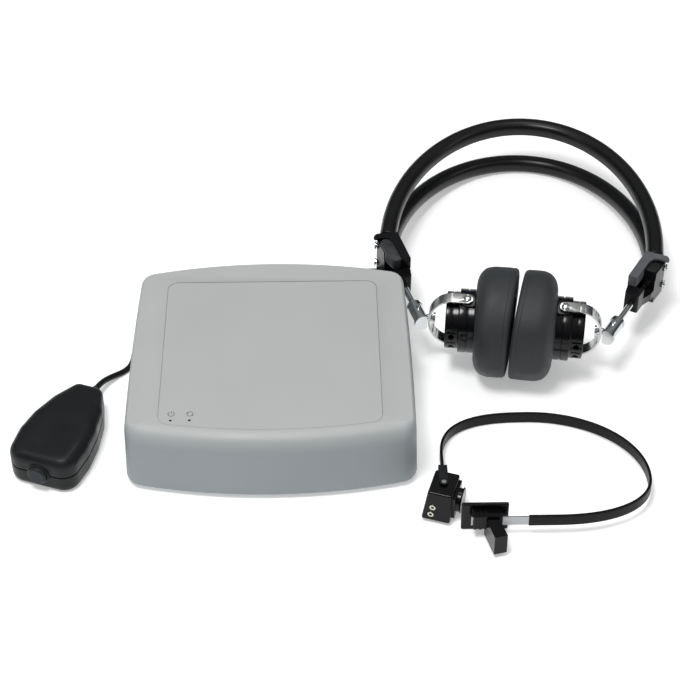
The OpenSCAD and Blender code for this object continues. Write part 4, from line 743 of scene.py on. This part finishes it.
# %% The tree that draws a section along a path
sweep = bpy.data.node_groups.new("section along a path", "GeometryNodeTree")
for label, kind, value in (("Path", "NodeSocketGeometry", None),
                           ("Half width", "NodeSocketFloat", 5.0),
                           ("Half height", "NodeSocketFloat", 5.0),
                           ("Squareness", "NodeSocketFloat", 2.3),
                           ("Sides", "NodeSocketInt", 40), ("Finish", "NodeSocketMaterial", None)):
    socket = sweep.interface.new_socket(label, in_out="INPUT", socket_type=kind)
    if value is not None:
        socket.default_value = value
sweep.interface.new_socket("Body", in_out="OUTPUT", socket_type="NodeSocketGeometry")
given = add(sweep, "NodeGroupInput").outputs
path = add(sweep, "GeometryNodeMeshToCurve", {"Mesh": given["Path"]}).outputs[0]
path = add(sweep, "GeometryNodeSetCurveNormal", {"Curve": path}, mode="Z_UP").outputs[0]
round_line = add(sweep, "GeometryNodeCurvePrimitiveCircle",
                 {"Resolution": given["Sides"], "Radius": 1.0}).outputs[0]
power = add(sweep, "ShaderNodeMath", {0: 2.0, 1: given["Squareness"]},
            operation="DIVIDE").outputs[0]
spot = add(sweep, "ShaderNodeSeparateXYZ",
           {0: add(sweep, "GeometryNodeInputPosition").outputs[0]}).outputs
pulled = []
for axis, half in (("X", "Half width"), ("Y", "Half height")):
    size = add(sweep, "ShaderNodeMath", {0: spot[axis]}, operation="ABSOLUTE").outputs[0]
    size = add(sweep, "ShaderNodeMath", {0: size, 1: power}, operation="POWER").outputs[0]
    sign = add(sweep, "ShaderNodeMath", {0: spot[axis]}, operation="SIGN").outputs[0]
    size = add(sweep, "ShaderNodeMath", {0: size, 1: sign}, operation="MULTIPLY").outputs[0]
    pulled.append(add(sweep, "ShaderNodeMath", {0: size, 1: given[half]},
                      operation="MULTIPLY").outputs[0])
corner = add(sweep, "ShaderNodeCombineXYZ", {0: pulled[0], 1: pulled[1]}).outputs[0]
section = add(sweep, "GeometryNodeSetPosition",
              {"Geometry": round_line, "Position": corner}).outputs[0]
body = add(sweep, "GeometryNodeCurveToMesh",
           {"Curve": path, "Profile Curve": section, "Fill Caps": True}).outputs[0]
body = add(sweep, "GeometryNodeRealizeInstances", {"Geometry": body}).outputs[0]
body = add(sweep, "GeometryNodeSetMaterial",
           {"Geometry": body, "Material": given["Finish"]}).outputs[0]
add(sweep, "NodeGroupOutput", {"Body": body})


def grown(name, tree, points, **inputs):
    """Runs a tree on a line of points and keeps what it makes as a plain mesh."""
    made = solid(name, points, [], None, [(i, i + 1) for i in range(len(points) - 1)])
    growth = made.modifiers.new("growth", "NODES")
    growth.node_group = tree
    for item in tree.interface.items_tree:
        key = item.name.replace(" ", "_")
        if item.item_type == "SOCKET" and item.in_out == "INPUT" and key in inputs:
            growth[item.identifier] = inputs[key]
    bake(made)
    work = bmesh.new()
    work.from_mesh(made.data)
    bmesh.ops.recalc_face_normals(work, faces=work.faces)
    work.to_mesh(made.data)
    work.free()
    return made


print("sweep tree has", len(sweep.nodes), "nodes")

# %% [markdown]
# ## The headset's bands
# Each band is a flat spring inside a thick vinyl sleeve. Its line is half an ellipse with
# straight legs. Both bands use the same line, and pivot in the slide blocks at their ends.


# %% Bands
BAND_HALF, LEG_TOP, BAND_RISE = 82.6, 78, 122


def band_line(y_end, n=96):
    steps = max(1, int((LEG_TOP - y_end) / 3))
    legs = [[(x, y_end + (LEG_TOP - y_end) * i / steps, 0) for i in range(steps)]
            for x in (BAND_HALF, -BAND_HALF)]
    bow = [(BAND_HALF * cos(math.pi * i / n), LEG_TOP + BAND_RISE * sin(math.pi * i / n), 0)
           for i in range(n + 1)]
    return legs[0] + bow + legs[1][::-1]


for name, place in (("upper", UPPER), ("lower", LOWER)):
    sleeve = grown(name + "_band_sleeve", sweep, band_line(67.6), Half_width=5.4,
                   Half_height=5.5, Squareness=2.3, Sides=48, Finish=vinyl)
    settle(soften(sleeve, 0.5, 3, 60), place, name + "_sleeve", angle=50)
    blade = grown(name + "_band_spring", sweep, band_line(55), Half_width=0.5,
                  Half_height=3.5, Squareness=9.0, Sides=28, Finish=spring)
    settle(carve(blade, round_bar("X", 1.6, -100, 100, (0, BAND_PIVOT_Y, 0))), place,
           name + "_spring", angle=40)

# %% [markdown]
# ## The bone vibrator's hoop
# The hoop is a thin steel strip in a heat-shrink sleeve, bent to the curve of a head. The strip
# shows bare where the sleeve ends, in front of the temple pad.


# %% Hoop
def bend(cx, cy, a, b, n, t):
    c, s = cos(radians(t)), sin(radians(t))
    return (cx + a * math.copysign(abs(c) ** (2 / n), c),
            cy + b * math.copysign(abs(s) ** (2 / n), s), 0)


def hoop_line(x0, y1):
    return ([(x0, -106, 0)] + [bend(155, -72, 56.5, 34, 2.3, -90 + 90 * i / 30) for i in range(31)]
            + [bend(148, -72, 63.5, 53.6, 2, 90 * i / 36) for i in range(1, 37)]
            + [bend(148, -56, 52, 37.6, 2.7, 90 + 90 * i / 36) for i in range(1, 37)]
            + [(96, y1, 0)])


hoop_steel = grown("hoop_steel", sweep, hoop_line(109, -71.6), Half_width=0.4,
                   Half_height=3.0, Squareness=9.0, Sides=28, Finish=spring)
settle(hoop_steel, HOOP, "hoop_strip", angle=40)
hoop_cover = grown("hoop_heat_shrink", sweep, hoop_line(140.5, -63), Half_width=0.9,
                   Half_height=3.5, Squareness=6.0, Sides=32, Finish=shrink)
settle(hoop_cover, HOOP, "hoop_sleeve", angle=40)

# %% [markdown]
# ## Ear cushions
# The cushions are moulded rubber rings. The ear side is broad and nearly flat with a soft edge,
# the back rolls over a big radius, and a fine groove runs where the mould halves met. They
# are turned from a profile, then each is pressed a little out of true, as old rubber is.

# %% Cushions
cushion_profile = eased([
    (17, 12), (2.6, 12), (0.5, 15), (0, 18), (0, 30), (0.3, 31.8), (1.5, 32.8), (3, 33),
    (3.5, 32.7), (4, 33), (13, 33), (17.4, 31.6), (20.4, 28.2), (21.8, 24), (22, 21),
    (17, 21)], 1.6, 3, loop=True)
lean = math.tan(radians(5))  # of the ear sides
SEAT, CLOSER, DOME = 1.7, 0.4, 0.15  # out to the case, and in to the other cushion
for s, side in ((-1, "left"), (1, "right")):
    ring = turned(side + "_cushion_ring", cushion_profile, cushion_rubber, loop=True, sides=128)
    for v in ring.data.vertices:
        a, r = math.atan2(v.co.z, v.co.y), math.hypot(v.co.y, v.co.z)
        rim = max(0.0, (r - 24) / 9)
        swell = rim * (0.16 * sin(3 * a + s) + 0.12 * sin(5 * a + 2 * s) - 0.12)
        v.co.y += swell * cos(a)
        v.co.z += swell * sin(a)
        front = min(max((15 - v.co.x) / 12, 0), 1)
        flat_part = max(0.0, 1 - (r / 29) ** 4)
        v.co.x += (SEAT + rim * 0.1 * sin(4 * a + 1.3 * s)
                   + front * (lean * s * v.co.y - CLOSER - DOME * flat_part))
    settle(ring, ear_frame(s), side + "_cushion", angle=60)

# %% [markdown]
# ## Earphone cases
# Each earphone is a stepped phenolic turning: a body with a tab above and below for the yoke, a
# raised band, and a smaller cap. Its underside has the two pin sockets of its lead, between
# three short slots.

# %% Earphones
case_profile = eased([
    (18.7, 0), (18.7, 21), (23.7, 21), (23.7, 19), (27.4, 19), (27.4, 18.55), (28.2, 18.55),
    (28.2, 19), (33, 19), (33, 17), (36.4, 17), (36.4, 16.7), (37, 16.7), (37, 17),
    (40.8, 17), (40.8, 12), (40.3, 11.4), (40.3, 0)], 0.5, 3)
hollow = [(20.7, 0), (20.7, 15.8), (31, 15.8), (31, 15), (38.8, 15), (38.8, 0)]
for s, side in ((-1, "left"), (1, "right")):
    case = turned(side + "_earphone_case", case_profile, gloss_black)
    tabs = []
    for up in (-1, 1):
        tab = round_bar("Z", 4.4, 16 * up, 20.4 * up, (PIVOT_X, 0, 0))
        low, high = min(16 * up, 20.4 * up), max(16 * up, 20.4 * up)
        tabs.append(soften(carve(tab, block(24, -4.4, low, PIVOT_X, 4.4, high), how="UNION"),
                           0.4, 2, 50))
    carve(case, *tabs, how="UNION")
    cuts = [turned("hollow", hollow, None, sides=48)]
    cuts += [round_bar("X", 1.5, 17.7, 21.7, (0, 6 * cos(a), 6 * sin(a)), sides=24)
             for a in (math.pi * k / 3 for k in range(6))]
    cuts += [round_bar("Y", 1.8, -18, -12, (36.9, 0, z), sides=32) for z in (-4.5, 4.5)]
    cuts += [block(34.3, -18, z - 0.45, 39.5, -14.8, z + 0.45) for z in (-7.4, 0, 7.4)]
    cuts += [round_bar("Z", 1.5, a, b, (PIVOT_X, 0, 0), sides=32)
             for a, b in ((15.7, 30), (-30, -15.7))]
    carve(case, *cuts)
    settle(case, ear_frame(s), side + "_case", angle=34)

# %% [markdown]
# ## Yokes
# A yoke is one flat nickel-plated strip bent into a bow and hung on a stud, with a rounded lug at
# each end. Its side view is drawn finely enough for the bow to mirror the room without facets,
# and the plan is then cut to the strip's width.

# %% Yokes
yoke_z, thick, wide = 20.6, 1.2, 6.5
rivet = [(15.9, 1.5), (21.84, 1.5), (21.86, 2.3), (22.2, 2.1), (22.5, 1.5), (22.62, 0.7)]
for s, side in ((-1, "left"), (1, "right")):
    def bow(g):
        return [(37 + (14.3 - g) * cos(t), (yoke_z + thick - g) * sin(t))
                for t in (radians(90 - 180 * i / 56) for i in range(57))]
    outer, inner = bow(0), bow(thick)
    x0 = PIVOT_X - wide / 2
    outline = ([(x0, yoke_z + thick)] + outer + [(x0, -yoke_z - thick), (x0, -yoke_z)]
               + inner[::-1] + [(x0, yoke_z)])
    strip = prism(side + "_yoke_strip", outline, -wide / 2, wide / 2, nickel)
    strip.data.transform(Matrix.Rotation(math.pi / 2, 4, "X"))
    plan = [(PIVOT_X + wide / 2 * cos(a), wide / 2 * sin(a))
            for a in (radians(90 + 180 * i / 24) for i in range(25))]
    carve(strip, prism("plan", plan + [(60, -wide / 2 - 0.01), (60, wide / 2 + 0.01)], -30, 30),
          how="INTERSECT")
    carve(strip, round_bar("Z", 1.6, -30, 30, (PIVOT_X, 0, 0)), round_bar("X", 2.1, 40, 60))
    soften(strip, 0.16, 2, 50)
    settle(strip, yoke_frame(s), side + "_yoke", angle=40)
    pins = []
    for up in (-1, 1):
        pins.append(turned("pin", rivet, None, sides=40))
        pins[-1].data.transform(Matrix.Translation((PIVOT_X, 0, 0))
                                @ Matrix.Rotation(-up * math.pi / 2, 4, "Y"))
    settle(merged(side + "_pivot_rivets", pins, chrome), yoke_frame(s), side + "_pivots", angle=50)

# %% [markdown]
# ## Studio
# The photograph is a cut-out on white with short shadows. The key lamp stands high, a little in
# front and to the left. A weak lamp behind draws highlights on the bands, and two narrow strips at
# the sides give the plated parts their streaks. The surround is bright above and dark towards the
# horizon, which keeps the black parts black. The floor is paper that glows a little, to stay white.

# %% Floor and light
paper = finish("white_paper", "#F7F7F7", 0.9, 2.0, 0.0, tint=0.0)
shine = next(n for n in paper.node_tree.nodes if n.type == "BSDF_PRINCIPLED")
shine.inputs["Emission Color"].default_value = (1, 1, 1, 1)
shine.inputs["Emission Strength"].default_value = 0.34
floor = solid("floor", [(-3, -3, 0), (3, -3, 0), (3, 3, 0), (-3, 3, 0)], [(0, 1, 2, 3)], paper)
LAMP_AIM = Vector((0.04, 0.03, 0.0))


def lamp(name, at, wide, high, power):
    data = bpy.data.lights.new(name, "AREA")
    data.shape, data.size, data.size_y, data.energy = "RECTANGLE", wide, high, power
    made = bpy.data.objects.new(name, data)
    bpy.context.scene.collection.objects.link(made)
    made.location = at
    made.rotation_euler = (Vector(at) - LAMP_AIM).to_track_quat("Z", "Y").to_euler()


lamp("key", (-0.25, -0.35, 1.45), 0.4, 0.4, 13)
lamp("rim", (0.15, 0.45, 1.4), 0.45, 0.45, 2.2)
lamp("left_strip", (-1.1, -0.3, 0.7), 0.12, 1.0, 1.2)
lamp("right_strip", (1.2, 0.1, 0.7), 0.12, 1.0, 1.2)
world = bpy.data.worlds.new("surround")
bpy.context.scene.world = world
world.use_nodes = True
sky = world.node_tree
way = add(sky, "ShaderNodeTexCoord").outputs["Generated"]
high = add(sky, "ShaderNodeSeparateXYZ", {0: way}).outputs["Z"]
high = add(sky, "ShaderNodeMapRange", {0: high, 1: 0.25, 2: 0.95, 3: 0.0, 4: 1.0}).outputs[0]
HORIZON, ZENITH = (0.05, 0.058, 0.07, 1), (0.46, 0.46, 0.45, 1)
glow = add(sky, "ShaderNodeMix", {0: high, 6: HORIZON, 7: ZENITH}, data_type="RGBA").outputs[2]
sky.links.new(glow, sky.nodes["Background"].inputs["Color"])
bpy.context.scene.view_settings.view_transform = "Standard"
print("lights set")

# %% [markdown]
# ## The last update
# The view layer is updated once more, so that every placed piece is current.

# %% Update
bpy.context.view_layer.update()
